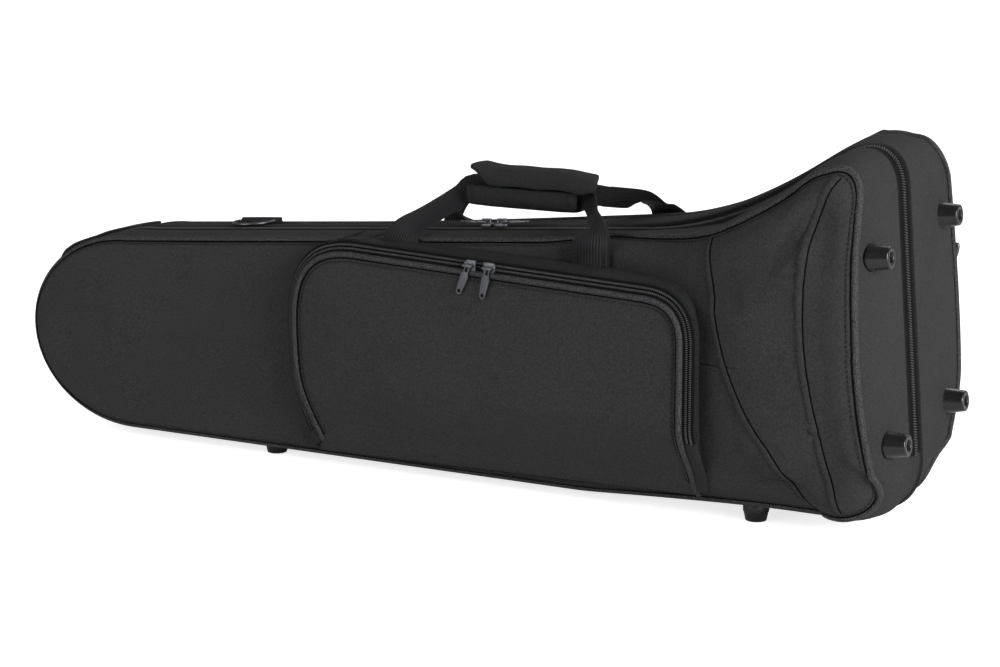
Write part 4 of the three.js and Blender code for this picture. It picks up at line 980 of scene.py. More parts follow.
@dataclass
class CaseForm:
    """The case's outer form, in millimetres from the nose tip, the parting plane and the floor."""

    length: float = 957
    rest: float = 10
    nose: Vector = field(default_factory=lambda: Vector((125, 203)))
    rise: float = 0.0787
    lean: float = 0.081
    lean_start: float = 72
    spine_end: Vector = field(default_factory=lambda: Vector((840, 160)))
    flare_start: float = 690
    wall: float = 14
    rebate: Vector = field(default_factory=lambda: Vector((3, 16)))
    gap: float = 0.4
    belly: float = 180
    belly_up: float = 210
    belly_down: float = 160
    corner_loss: float = 0.16
    foot_end: float = 62
    end_height: float = 312
    crest: Vector = field(default_factory=lambda: Vector((81, 338)))
    crest_pulls: tuple[tuple[float, float], ...] = ((22, 345), (45, 360))
    low_end: tuple[float, float] = (40, 130)
    valley_span: tuple[float, float, float, float] = (600, 680, 720, 800)
    swell_fade: tuple[float, float] = (850, 920)
    swell_slope: float = 2.2
    tilt_fade: tuple[float, float] = (850, 910)
    tilt_reach: tuple[float, float] = (40, 110)
    tilt_early: tuple[float, float] = (640, 730)
    tilt_late: tuple[float, float] = (700, 800)
    piping_corners: tuple[float, float] = (5, 9.5)
    shift: Vector = field(init=False)

    def __post_init__(self) -> None:
        """Takes the case's place in the shared frame from the shells."""
        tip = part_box("front_shell")[0].x
        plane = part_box("back_shell")[0].y - self.gap * MM
        self.shift = Vector((tip, plane, 0))

    def at(self, x: float, y: float, z: float) -> Vector:
        """A point in the shared frame, in metres."""
        return Vector((x, y, z)) * MM + self.shift

    def top(self, x: float) -> float:
        """Height of the straight top edge."""
        return self.rest + self.nose.y + (x - self.nose.x) * self.rise

    def end(self, z: float) -> float:
        """Distance of the leaning bell end."""
        return self.length - (z - self.lean_start) * self.lean

    def top_way(self) -> Vector:
        """The direction of the straight top edge."""
        return Vector((1, 0, self.rise)).normalized()

    def curves(self) -> list[tuple[Part, Curve, float]]:
        """The outline's stretches, each with its length."""
        foot_nose = Vector((self.nose.x, self.rest))
        foot_bell = Vector((self.length - self.foot_end, self.rest))
        end_low, end_high = (Vector((self.end(z), z)) for z in (self.lean_start, self.end_height))
        pulls = [Vector((self.length - x, z)) for x, z in self.crest_pulls]
        flank = Vector((self.length - self.crest.x, self.crest.y))
        bend, nose_top = (Vector((x, self.top(x))) for x in (self.flare_start, self.nose.x))
        middle = (nose_top.y + self.rest) / 2

        def nose(t: float) -> Vector:
            """The half ellipse of the nose."""
            angle = math.pi * (0.5 + t)
            return Vector((self.nose.x * (1 + math.cos(angle)), middle + self.nose.y / 2 * math.sin(angle)))

        return [
            (Part.BOTTOM, line(foot_nose, foot_bell), 770),
            (Part.BOTTOM_CORNER, quadratic(foot_bell, Vector((self.end(self.rest), self.rest)), end_low), 95),
            (Part.END, line(end_low, end_high), 240),
            (Part.TOP_CORNER, cubic(end_high, *pulls, flank), 75),
            (Part.FLARE, cubic(flank, flank - Vector((50, 35)), bend + Vector((70, 70 * self.rise)), bend), 205),
            (Part.EDGE, line(bend, nose_top), 567),
            (Part.NOSE, nose, 357),
        ]

    def spot(self, part: Part, curve: Curve, t: float) -> Spot:
        """The outline at a share of one of its stretches."""
        point, tangent = curve(t), direction(curve, t)
        inward = Vector((-tangent.y, tangent.x))
        start = Vector((self.nose.x, self.rest + self.nose.y / 2))
        share = min(max((point.x - self.nose.x) / (self.spine_end.x - self.nose.x), 0), 1)
        way = start.lerp(self.spine_end, share) - point
        reach = way.length
        way = way / reach
        return Spot(point, way, reach, max(way.dot(inward), math.sqrt(0.5)), -inward, part)

    def outline(self, pitch: float) -> list[Spot]:
        """Places all round the outline, about a pitch apart."""
        spots = []
        for part, curve, length in self.curves():
            steps = max(round(length / pitch), 2)
            spots += [self.spot(part, curve, k / steps) for k in range(steps)]
        return spots

    def run(self, parts: Sequence[Part], pitch: float) -> list[Spot]:
        """Places along some neighbouring stretches, with both ends."""
        spots = [s for s in self.outline(pitch) if s.part in parts]
        last = next(c for c in self.curves() if c[0] == parts[-1])
        return [*spots, self.spot(last[0], last[1], 1.0)]

    def middle_share(self, height: float) -> float:
        """One at the middle of the bell end's height, nothing at its corners."""
        off = height - self.belly
        return 1 - min(off / self.belly_up if off > 0 else -off / self.belly_down, 1) ** 2

    def rounding(self, half: Half, spot: Spot, shrink: float = 0) -> Rounding:
        """The rounded edge of a half at one place."""
        flare, shares = half.flare(spot.point.x), spot.shares()
        end, foot, _ = shares
        low = 1 - smoothstep(spot.point.y, *self.low_end)
        cornered = max(end * foot * 4, 0) ** half.corner_spread
        reach = mix(EDGE_REACH.bell(shares, mix(EDGE_REACH.end, half.low_reach, low)), half.corner_reach, cornered)
        power = mix(EDGE_POWER.bell(shares, mix(EDGE_POWER.end, half.low_power, low)), half.corner_power, cornered)
        loss = self.corner_loss * (1 - self.middle_share(spot.point.y)) * max(spot.facing.x, 0) * flare
        swell = half.swell * mix(1, 0.5, smoothstep(spot.point.x, *self.swell_fade))
        leaning = max(swell * (1 - spot.facing.x * self.swell_slope), half.end_swell)
        full = tuple(mix(s.slim, s.bell(shares, s.end), flare) for s in (EDGE_REACH, PANEL_POWER))
        return Rounding(
            depth=half.depth(spot.point.x) * (1 - loss) - shrink,
            middle_depth=half.depth(min(spot.point.x, self.spine_end.x)) - shrink,
            reach=mix(EDGE_REACH.slim, reach, flare), power=mix(EDGE_POWER.slim, power, flare),
            swell=leaning * flare * (1 - foot), shrink=shrink, full=full, piped=self.piping_inset(half, spot),
        )

    def piping_inset(self, half: Half, spot: Spot) -> float:
        """How far in from the outline the piping runs."""
        end, foot, crown = spot.shares()
        high, x = spot.point.y > self.belly, spot.point.x
        corner = self.piping_corners[0 if high else 1]
        there = mix(corner, PIPING.end, self.middle_share(spot.point.y) ** (1 if high else 2))
        bell = end * there + foot * mix(PIPING.foot, corner, end) + crown * mix(PIPING.crown, corner, end)
        bell *= mix(half.piping_share, 1, foot)
        span = self.valley_span
        valley = half.valley * crown * smoothstep(x, *span[:2]) * (1 - smoothstep(x, *span[2:]))
        return mix(PIPING.slim, bell, half.flare(x)) - valley

    def shoulder(self, half: Half, spot: Spot, inset: float, depth: float) -> float:
        """How far the zip and what lies beside it tilt to the front along the flare, as a change of inset."""
        x, faces_up = spot.point.x, min(max(spot.facing.y, 0) * 1.2, 1)
        fade = (1 - smoothstep(x, *self.tilt_fade)) * faces_up * (1 - smoothstep(inset, *self.tilt_reach))
        tilt = tabled(half.tilt, depth)
        early = smoothstep(x, *self.tilt_early) if half.sign > 0 else 0
        late = smoothstep(x, *self.tilt_late)
        return fade * (tilt * late + min(tilt, 0) * max(early - late, 0))

    def place(self, half: Half, spot: Spot, inset: float, depth: float, inside: bool = False) -> Vector:
        """A point by its distance in from the outline and behind the parting plane."""
        tilt = 0 if inside else self.shoulder(half, spot, inset, depth)
        travel = min((inset + tilt) / spot.slant, spot.reach)
        x, z = spot.point + spot.way * travel
        return self.at(x, half.sign * depth, z)

    def surface(self, half: Half, spot: Spot, angle: float, out: float = 0, along: float = 0) -> Vector:
        """A point on the rounding, moved out from it or along it towards the face."""
        rounding = self.rounding(half, spot)
        here = Vector(rounding.at(angle))
        run = (Vector(rounding.at(min(angle + 0.02, math.pi / 2))) - here).normalized()
        moved = here + run * along + Vector((-run.y, run.x)) * out
        return self.place(half, spot, moved.x, moved.y)

    def outward(self, half: Half, spot: Spot, angle: float) -> Vector:
        """The way out of the surface at an angle of the rounding."""
        return (self.surface(half, spot, angle, 1) - self.surface(half, spot, angle)).normalized()

    def ring(self, half: Half, spots: Sequence[Spot], rows: Iterable[tuple[float, float]],
             inside: bool = False) -> Section:
        """One ring of a cover, from an inset and a depth for each place."""
        return [self.place(half, s, *row, inside) for s, row in zip(spots, rows)]

    def face_row(self, share: float, spot: Spot, rounding: Rounding) -> tuple[float, float]:
        """Inset and depth on the face, a share of the way to the middle line."""
        return mix(rounding.shrink + rounding.reach, spot.reach * spot.slant, share), rounding.face_depth(share)


def surface_tree(piece: Piece) -> BVHTree:
    """A search tree over a piece's faces."""
    bm = bmesh.new()
    bm.from_mesh(piece.data)
    tree = BVHTree.FromBMesh(bm)
    bm.free()
    return tree


def laid_on(tree: BVHTree, points: Sequence[Vector], sign: int) -> tuple[list[Vector], list[Vector]]:
    """Drops points along Y onto a half's face.

    Args:
        tree: The face's search tree.
        points: Points in the shared frame; their Y is ignored.
        sign: The side the points come from, -1 for the front.

    Returns:
        The points on the face and its outward normals there.
    """
    places, normals = [], []
    for point in points:
        hit, normal, _, _ = tree.ray_cast(Vector((point.x, sign * 0.6, point.z)), Vector((0, -sign, 0)))
        if hit is not None:
            places.append(hit)
            normals.append(normal if normal.y * sign > 0 else -normal)
    return places, normals


@dataclass
class Seam:
    """A lapped seam: a raised fold of cloth with a dark tube along its edge as painted shadow, and a row of stitches
    along it.
    """

    fold: float = 8.0
    rise: float = 0.9
    pitch: float = 4.6
    inset: float = 6.2
    # width of the dark tube along the fold's edge, a painted shadow, in millimetres
    pinched: float = 1.7

    def dress(self, name: str, path: Sequence[Vector], normals: Sequence[Vector], half: Half, side: int) -> None:
        """Builds the fold and its stitches along a path on the cover.

        Args:
            name: The seam's name.
            path: Points on the cover.
            normals: The cover's normals there.
            half: The half that carries the seam.
            side: The side the fold lies on, 1 or -1.
        """
        section = [(0, -0.6), (0.25, 0.4), (0.9, self.rise), (self.fold - 1.5, self.rise * 0.7), (self.fold, -1.2)]
        flat = [(a * side * MM, b * MM) for a, b in section]
        fold = swept(f"{name}_fold", path, normals, flat, sharp_angle=60)
        dressed(fold, COVER_NYLON, half.body)
        # a dark tube along the fold's edge: painted shadow
        pinch(f"{name}_pinch", path, normals, half.body, self.pinched)
        thread(f"{name}_stitches", path, normals, half.body, self.inset * side, self.rise * 0.75, self.pitch)


def thread(name: str, path: Sequence[Vector], normals: Sequence[Vector], body: Body, shift: float, lift: float,
           pitch: float = STITCH_PITCH, closed: bool = False) -> None:
    """A row of stitches beside a path.

    Args:
        name: The object's name.
        path: Points on the surface.
        normals: The surface's normals there.
        body: The body that carries the row.
        shift: Sideways distance in millimetres.
        lift: Outward distance in millimetres.
        pitch: The distance between stitches in millimetres.
        closed: Whether the row closes on itself.
    """
    even = resampled(path, pitch * MM, closed)
    places = block_places(even, nearest_ups(path, normals, even), closed, shift * MM, lift * MM)
    row = repeated_blocks(name, places, STITCH * MM, taper=0.75)
    dressed(row, THREAD, body)


def pinch(name: str, path: Sequence[Vector], ups: Ups, body: Body, width: float = SHADOW_LINE_WIDTH,
          closed: bool = False) -> None:
    """A dark tube, some millimetres wide, along a path where two pieces of cloth are pinched together: a painted
    shadow of the crease.
    """
    dark = swept(name, path, ups, round_section(width * MM, width * MM, 6), closed=closed)
    dressed(dark, SHADOW_FOLD, body)


@dataclass
class Shells:
    """The woven covers of both halves, with their piping, seams and rows of stitches."""

    form: CaseForm
    pitch: float = 4.0
    round_rows: int = 26
    face_rows: int = 22
    cord: tuple[float, float] = (6.8, 5.4)
    trees: dict[str, BVHTree] = field(default_factory=dict)

    def build(self, half: Half) -> None:
        """Builds one half's cover and the rows that are sewn on it."""
        form, rebate, crest = self.form, self.form.rebate, math.pi / 2
        spots = form.outline(self.pitch)
        walls = [form.rounding(half, s, form.wall) for s in spots]
        edges = [form.rounding(half, s) for s in spots]
        rows = [[form.face_row(share, s, r) for s, r in zip(spots, walls)] for share in (0.97, 0.7, 0.35, 0.0)]
        rows += [[r.at(crest * share) for r in walls] for share in (0.95, 0.75, 0.5, 0.25)]
        inner = [form.ring(half, spots, row, True) for row in rows]
        lip = [(rebate.x, form.gap), (rebate.x, rebate.y), (0, rebate.y + form.gap)]
        rim = [form.ring(half, spots, [(form.wall, form.gap)] * len(spots), True)]
        rim += [form.ring(half, spots, [row] * len(spots)) for row in lip]
        outer, insets = [], []
        start = rebate.y + form.gap + 2
        for share in (k / self.round_rows for k in range(self.round_rows + 1)):
            outer.append([r.at(mix(r.angle_at_depth(start), crest, share)) for r in edges])
            insets.append([r.at(mix(0.3, crest, share))[0] - r.piped for r in edges])
        for share in (0.97 * k / self.face_rows for k in range(1, self.face_rows + 1)):
            outer.append([form.face_row(share, s, r) for s, r in zip(spots, edges)])
            insets.append([row[0] - r.piped for row, r in zip(outer[-1], edges)])
        panel = self.evened([form.ring(half, spots, row) for row in outer], insets)
        rings = [*inner, *rim, *(self.rippled(ring, half) for ring in panel)]
        cover = lofted(half.named("cover"), rings, keep_uv=False)
        dressed(cover, COVER_NYLON, half.body, [half.named("shell")])
        self.trees[half.named("cover")] = surface_tree(cover)
        self.piping(half)

    def evened(self, rings: Sequence[Section], insets: Sequence[Sequence[float]], cell: float = 5,
               spread: float = 28, edge: float = 6, fade: float = 40) -> list[Section]:
        """Evens the panel's depth, as cloth over foam does, so that no crease is left where its sides meet.

        Args:
            rings: The panel's rings, from the rim to the middle.
            insets: How far each point lies inside the piping, in millimetres.
            cell: The size of the cells that depths are gathered in, in millimetres.
            spread: How far the depths are evened, in millimetres.
            edge: How far inside the piping the evening starts, in millimetres.
            fade: The distance over which it grows to its full share, in millimetres.

        Returns:
            The rings with their new depths.
        """
        points = numpy.array([[tuple(p) for p in ring] for ring in rings]) / MM
        inside = numpy.array(insets)
        low = points[..., 0].min() - cell
        place = numpy.stack(((points[..., 0] - low) / cell, points[..., 2] / cell), axis=-1)
        near = numpy.rint(place).astype(int)
        shape = tuple(near.reshape(-1, 2).max(axis=0) + 3)
        total, count = numpy.zeros(shape), numpy.zeros(shape)
        chosen = inside > 0
        numpy.add.at(total, tuple(near[chosen].T), points[..., 1][chosen])
        numpy.add.at(count, tuple(near[chosen].T), 1)
        known = (count > 0).astype(float)
        field_depth = numpy.where(count > 0, total / numpy.maximum(count, 1), 0)
        for _ in range(round(2 * (spread / cell) ** 2)):
            sums, parts = numpy.zeros(shape), numpy.zeros(shape)
            for step, axis in ((1, 0), (-1, 0), (1, 1), (-1, 1)):
                sums += numpy.roll(field_depth * known, step, axis)
                parts += numpy.roll(known, step, axis)
            field_depth = numpy.where(parts > 0, sums / numpy.maximum(parts, 1e-9), field_depth)
            known = numpy.maximum(known, (parts > 0) * 0.05)
        base = numpy.floor(place).astype(int)
        part = place - base
        even = numpy.zeros(inside.shape)
        for i in (0, 1):
            for j in (0, 1):
                share = numpy.abs(1 - i - part[..., 0]) * numpy.abs(1 - j - part[..., 1])
                even += share * field_depth[base[..., 0] + i, base[..., 1] + j]
        blend = numpy.clip((inside - edge) / fade, 0, 1)
        blend = blend * blend * (3 - 2 * blend)
        depths = points[..., 1] * (1 - blend) + even * blend
        return [[Vector((p.x, y * MM, p.z)) for p, y in zip(ring, row)] for ring, row in zip(rings, depths.tolist())]

    def rippled(self, ring: Section, half: Half) -> Section:
        """Gives a ring the slight unevenness of cloth over foam."""
        out = Vector((0, half.sign, 0))
        return [p + out * (noise.noise(p * 16) * 0.9 + noise.noise(p * 45) * 0.35) * MM for p in ring]

    def piping(self, half: Half) -> None:
        """The covered cord round the face, a dark tube beside it as painted shadow of the crease, and the stitches
        inside it.
        """
        form = self.form
        spots = form.outline(self.pitch)
        angles = [form.rounding(half, s).angle_at_inset(form.piping_inset(half, s)) for s in spots]
        path, pinched, inside = ([form.surface(half, s, a, out, along) for s, a in zip(spots, angles)]
                                 for out, along in ((0.9, 0), (0.25, 3.9), (0.15, 8.4)))
        ups = [form.outward(half, s, a) for s, a in zip(spots, angles)]
        width, height = self.cord
        cord = swept(half.named("piping"), path, ups, round_section(width * MM, height * MM, 14), closed=True)
        dressed(cord, PIPING_TWILL, half.body)
        # a dark tube in the crease inside the cord: painted shadow
        pinch(half.named("piping_pinch"), pinched, ups, half.body, closed=True)
        thread(half.named("piping_stitches"), inside, ups, half.body, 0, 0.1, closed=True)

    def seams(self, half: Half, runs: Sequence[Sequence[tuple[float, float]]]) -> None:
        """The seams across a face, from tables of distances and heights in millimetres."""
        tree = self.trees[half.named("cover")]
        for number, run in enumerate(runs, 1):
            curve = catmull([self.form.at(x, 0, z) for x, z in run])
            path, normals = laid_on(tree, resampled([curve(k / 80) for k in range(81)], 0.005), half.sign)
            Seam().dress(half.named(f"seam_{number}"), path, normals, half, -half.sign)


@dataclass
class ZipRun:
    """A coil zip: two tapes and two rows of teeth that lie between each other."""

    tooth: Vector = field(default_factory=lambda: Vector((1.0, 2.4, 1.2)))
    pitch: float = 2.4

    def teeth(self, name: str, path: Sequence[Vector], ups: Sequence[Vector], body: Body, late: bool) -> None:
        """One row of teeth.

        Args:
            name: The row's name.
            path: The line that the teeth are centred on.
            ups: The up vectors along it.
            body: The body that carries the row.
            late: Whether the row starts half a pitch later than its partner.
        """
        fine = resampled(path, self.pitch / 2 * MM)
        chosen = fine[1 if late else 0::2]
        places = block_places(chosen, nearest_ups(path, ups, chosen), False)
        row = repeated_blocks(name, places, self.tooth * MM, taper=0.8)
        dressed(row, ZIP_COIL, body)


@dataclass
class MainZip:
    """The two-way zip round the case and the cloth fold along its foot."""

    form: CaseForm
    tape: tuple[float, float] = (1.2, 2.7)
    seam: float = 12.6
    spine: float = 3.6
    run: ZipRun = field(default_factory=ZipRun)

    def build(self, half: Half) -> None:
        """One half's tape and teeth, and its part of the fold."""
        edge = self.form.rebate.y - 0.3
        self.zip(half, edge)
        self.fold(half, edge)

    def zip(self, half: Half, edge: float) -> None:
        """The tape, its teeth and its row of stitches, from the parting plane to an edge behind it."""
        form = self.form
        spots = form.run([Part.END, Part.TOP_CORNER, Part.FLARE, Part.EDGE, Part.NOSE], 5)
        high, low = self.tape
        rows = [(low, form.gap), (high, form.gap), (high - 0.15, 3), (high, 9), (high + 0.2, edge), (low, edge)]
        sections = [[form.place(half, s, *row) for row in rows] for s in spots]
        tape = lofted(half.named("zip_tape"), sections)
        dressed(tape, ZIP_TAPE, half.body, [half.named("zip_half")])
        path = [form.place(half, s, high - 0.75, form.gap + 1.3) for s in spots]
        ups = [Vector((s.facing.x, 0, s.facing.y)) for s in spots]
        self.run.teeth(half.named("zip_teeth"), path, ups, half.body, half.sign > 0)
        sewn = [form.place(half, s, high - 0.1, self.seam) for s in spots]
        thread(half.named("zip_stitches"), sewn, ups, half.body, 0, 0.1)

    def fold(self, half: Half, edge: float) -> None:
        """The cloth fold along the foot, and on the back half the thin spine that the case opens about."""
        form = self.form
        floor = form.run([Part.BOTTOM], 8)
        high, low = self.tape
        fold_rows = [(low, form.gap), (high, form.gap), (high - 0.1, 8), (high, edge), (low, edge)]
        fold = lofted(half.named("fold"), [[form.place(half, s, *row) for row in fold_rows] for s in floor])
        # the darker nylon is painted shade under the case, here and on the spine
        dressed(fold, WALL_NYLON, half.body, [half.named("fold_half")])
        if half.sign > 0:
            axis = [form.place(half, s, 0, 0) for s in floor]
            spine = swept("fold_spine", axis, Vector((0, 0, -1)), round_section(self.spine * MM, self.spine * MM, 12))
            dressed(spine, WALL_NYLON, half.body)


@dataclass
class Pocket:
    """The pocket on the front: side wall, coil zip, crowned panel, piping and the covers of the zip's ends."""

    form: CaseForm
    tree: BVHTree
    left: float = 339
    left_foot: float = 364
    right: float = 786
    right_foot: float = 781
    bottom: float = 24
    top_left: float = 231
    top_right: float = 221
    corner: float = 46
    corner_left: float = 80
    foot_rise: float = 10
    waist: float = 90
    foot_depth: float = 0.22
    zip_plane: tuple[float, float, float] = (62, 13, 0.096)
    zip_tilt: float = 0.45
    sunk: float = 2.5
    crown: float = 6
    fullness: float = 2.5
    cord: tuple[float, float] = (5.8, 5.0)
    piped: float = 7.2
    # inset of the dark tube inside the pocket's piping, a painted shadow
    pinched: float = 10.4
    stitched: float = 14
    tape: float = 5
    covered: int = 13

    def top(self, x: float) -> float:
        """Height of the pocket's top edge."""
        return mix(self.top_left, self.top_right, (x - self.left) / (self.right - self.left))

    def outline(self, pitch: float) -> list[tuple[Vector, Vector, int]]:
        """Points round the zip's line, each with its inward direction and stretch."""
        left, right, waist = self.left, self.right, self.bottom + self.waist
        right_corner, left_corner = right - self.corner, left + self.corner_left
        foot_left = Vector((self.left_foot, self.bottom))
        foot_right = Vector((self.right_foot, self.bottom + self.foot_rise))
        low_right, high_right = Vector((right, waist)), Vector((right, self.top_right - self.corner))
        top_right, top_left = (Vector((x, self.top(x))) for x in (right_corner, left_corner))
        high_left = Vector((left, self.top_left - self.corner_left))
        bend = self.bottom + self.waist / 2
        curves = [
            (line(foot_left, foot_right), 435),
            (quadratic(foot_right, Vector((right, bend)), low_right), 77),
            (line(low_right, high_right), 59),
            (quadratic(high_right, Vector((right, self.top_right)), top_right), 75),
            (line(top_right, top_left), 321),
            (quadratic(top_left, Vector((left, self.top_left)), high_left), 130),
            (quadratic(high_left, Vector((left, bend)), foot_left), 130),
        ]
        found = []
        for part, (curve, length) in enumerate(curves):
            steps = max(round(length / pitch), 2)
            for t in (k / steps for k in range(steps)):
                tangent = direction(curve, t)
                found.append((curve(t), Vector((-tangent.y, tangent.x)), part))
        return self.mitred(found)

    def mitred(self, found: list[tuple[Vector, Vector, int]]) -> list[tuple[Vector, Vector, int]]:
        """Turns the inward direction gradually round the corners."""
        count = len(found)
        soft = []
        for k, (point, _, part) in enumerate(found):
            near = sum((found[(k + d) % count][1] for d in range(-2, 3)), Vector((0, 0)))
            soft.append((point, near.normalized(), part))
        return soft

    def foot_share(self, z: float) -> float:
        """How much of its depth the pocket has at a height."""
        return mix(self.foot_depth, 1, smoothstep(z, self.bottom, self.bottom + 80))

    def depth(self, x: float, z: float) -> float:
        """Depth of the zip's plane in front of the parting plane."""
        face, start, slope = self.zip_plane
        return face + (start + (x - self.left) * slope) * self.foot_share(z)

    def point(self, spot: tuple[Vector, Vector, int], inset: float, out: float, middle: float = 0) -> Vector:
        """A point by its distance in from the zip's line and out from its plane."""
        centre = Vector(((self.left + self.right) / 2, (self.bottom + (self.top_left + self.top_right) / 2) / 2))
        flat = (spot[0] + spot[1] * inset).lerp(centre, middle)
        if -self.tape - 1 < inset < self.tape + 1:
            out += self.zip_tilt * min(max(inset, -self.tape), self.tape) * (1 - middle)
        forward = out * self.foot_share(flat.y) if out > 0 else out
        return self.form.at(flat.x, -self.depth(*flat) - forward, flat.y)

    def ring(self, spots: Sequence[tuple], inset: float, out: float, middle: float = 0) -> Section:
        """A ring of points round the pocket."""
        return [self.point(s, inset, out, middle) for s in spots]

    def rooted(self, ring: Section, sink: float) -> Section:
        """A ring dropped onto the front cover, and a little into it."""
        dropped = []
        for p in ring:
            hit, _, _, _ = self.tree.ray_cast(Vector((p.x, -0.6, p.z)), Vector((0, 1, 0)))
            dropped.append(Vector((p.x, (hit.y if hit else p.y) + sink * MM, p.z)))
        return dropped

    def build(self) -> None:
        """Builds the pocket's pieces."""
        spots = self.outline(4)
        self.gusset(spots)
        self.panel(spots)
        self.zip(spots)

    def gusset(self, spots: Sequence[tuple]) -> None:
        """The side wall, spreading a little towards the case, with a doubled edge at the zip."""
        t = self.tape
        spread = [0.5 + 1.5 * smoothstep(s[0].y, self.bottom + 10, self.bottom + 90) - 6 * max(-s[1].x, 0)
                  for s in spots]
        outer_root, inner_root = (self.rooted([self.point(s, a - w, 0) for s, w in zip(spots, spread)], self.sunk)
                                  for a in (-t, 3 - t))
        edge = [self.point(s, -t if s[2] > 0 else 0.5 - t, -0.8 if s[2] > 0 else -4) for s in spots]
        side = [[a.lerp(b, share) for a, b in zip(outer_root, edge)] for share in (0.2, 0.45, 0.7, 0.9)]
        lips = [[self.point(s, a - t, b if s[2] > 0 else -4) for s in spots]
                for a, b in ((0.6, -0.1), (2.4, -0.1), (3, -0.8))]
        rings = [outer_root, *side, edge, *lips, inner_root]
        wall = lofted("pocket_side_wall", rings, loop=True, keep_uv=False, sharp_angle=50)
        # the darker nylon is painted shade on the recessed wall
        dressed(wall, WALL_NYLON, Body.FRONT, ["pocket_gusset"])
        row = self.ring(spots, -t - 1.2, -4)
        ups = [Vector((-s[1].x, 0, -s[1].y)) for s in spots]
        thread("pocket_wall_stitches", row, ups, Body.FRONT, 0, 0.1, closed=True)

    def panel(self, spots: Sequence[tuple]) -> None:
        """The crowned panel with its piping and stitches."""
        t, crown = self.tape, self.crown

        def hem(more: float, out: float) -> Section:
            """A ring beside the zip, or beside the side wall along the foot."""
            return [self.point(s, (t + 0.4 if s[2] > 0 else -t) + more, out) for s in spots]

        def swell(inset: float, share: float) -> Section:
            """A ring on the crowned face, with the slight unevenness of cloth."""
            ring = self.ring(spots, inset, crown + self.fullness * (1 - (1 - share) ** 2), share)
            return [p - Vector((0, noise.noise(p * 22) * 0.8 * MM, 0)) for p in ring]

        inner = [hem(4, -2), hem(4, 1)] + [self.ring(spots, 15, 2 + 2 * s, s) for s in (0.1, 0.5, 0.94)]
        rings = [*reversed(inner), hem(0, -2), hem(0, 1.5), hem(0.8, 3.6), self.ring(spots, 7, crown - 0.6)]
        shares = (0.04, 0.1, 0.2, 0.32, 0.45, 0.6, 0.75, 0.88, 0.96)
        rings += [swell(9.5, 0), *(swell(mix(12, 15, share), share) for share in shares)]
        panel = lofted("pocket_front", rings, keep_uv=False, sharp_angle=50)
        dressed(panel, COVER_NYLON, Body.POCKET, ["pocket_panel"])
        out = Vector((0, -1, 0))
        zipped = [s for s in spots if s[2] > 0]
        width, height = self.cord
        cord = swept("pocket_piping", self.to_foot(self.ring(zipped, self.piped, crown - 0.2)), out,
                     round_section(width * MM, height * MM, 14))
        dressed(cord, PIPING_TWILL, Body.POCKET)
        # a dark tube in the crease inside the pocket's piping: painted shadow
        pinch("pocket_piping_pinch", self.to_foot(self.ring(zipped, self.pinched, crown + 0.3)), out, Body.POCKET)
        row = self.ring(zipped, self.stitched, crown + 0.5)
        thread("pocket_piping_stitches", row, [out] * len(row), Body.POCKET, 0, 0.1)

    def to_foot(self, path: Section) -> Section:
        """A line on the panel with both its ends carried down to the pocket's foot."""
        starts = []
        for end, before in ((path[0], path[3]), (path[-1], path[-4])):
            way = (end - before).normalized()
            reach = max(end.z - (self.bottom + 4) * MM, 0.003) / max(-way.z, 0.5)
            starts.append([end + way * reach * share + Vector((0, 5 * MM * share ** 2, 0)) for share in (0.5, 1)])
        return [*reversed(starts[0]), *path, *starts[1]]

    def zip(self, spots: Sequence[tuple]) -> None:
        """Tapes, teeth and end covers of the pocket's zip."""
        zipped = [s for s in spots if s[2] > 0]
        coil = ZipRun(Vector((0.9, 2.4, 1.2)), 2.0)
        for way, body, node, name in ((-1, Body.FRONT, "pocket_zip_fixed", "outer"),
                                      (1, Body.POCKET, "pocket_zip_panel", "inner")):
            rows = [(0.2, 0.3), (0.2, 1.7), (1.5, 1.8), (3.5, 1.9), (self.tape, 2.0), (self.tape, 0.3)]
            sections = [[self.point(s, way * a, b) for a, b in rows] for s in zipped]
            tape = lofted(f"pocket_tape_{name}", sections)
            dressed(tape, ZIP_TAPE, body, [node])
            path = [self.point(s, way * 1.7, 2.3) for s in zipped[self.covered:]]
            coil.teeth(f"pocket_teeth_{name}", path, [Vector((0, -1, 0))] * len(path), body, way > 0)
        for name, ends in (("right", zipped[:self.covered + 1]), ("left", zipped[-5:])):
            path = [self.point(s, 0, 1.4) for s in ends]
            arch = [(-6.5, -1.5), (-6.2, 1.2), (-3, 2.6), (3, 2.6), (6.2, 1.2), (6.5, -1.5)]
            cover = swept(f"pocket_zip_end_{name}", path, Vector((0, -1, 0)), [(a * MM, b * MM) for a, b in arch])
            # the darker nylon is painted shade
            dressed(cover, WALL_NYLON, Body.FRONT)


# A strap's way from its sewn end to the grip, as shares of the distances along, across and up.
LEG = ((0.08, 0.18, 0), (0.42, 0.6, 0.36), (0.78, 0.95, 0.74), (1, 1, 1))
STEEP_LEG = ((0.0, 0.2, 0), (0.05, 0.5, 0.42), (0.5, 0.9, 0.85), (1, 1, 1))


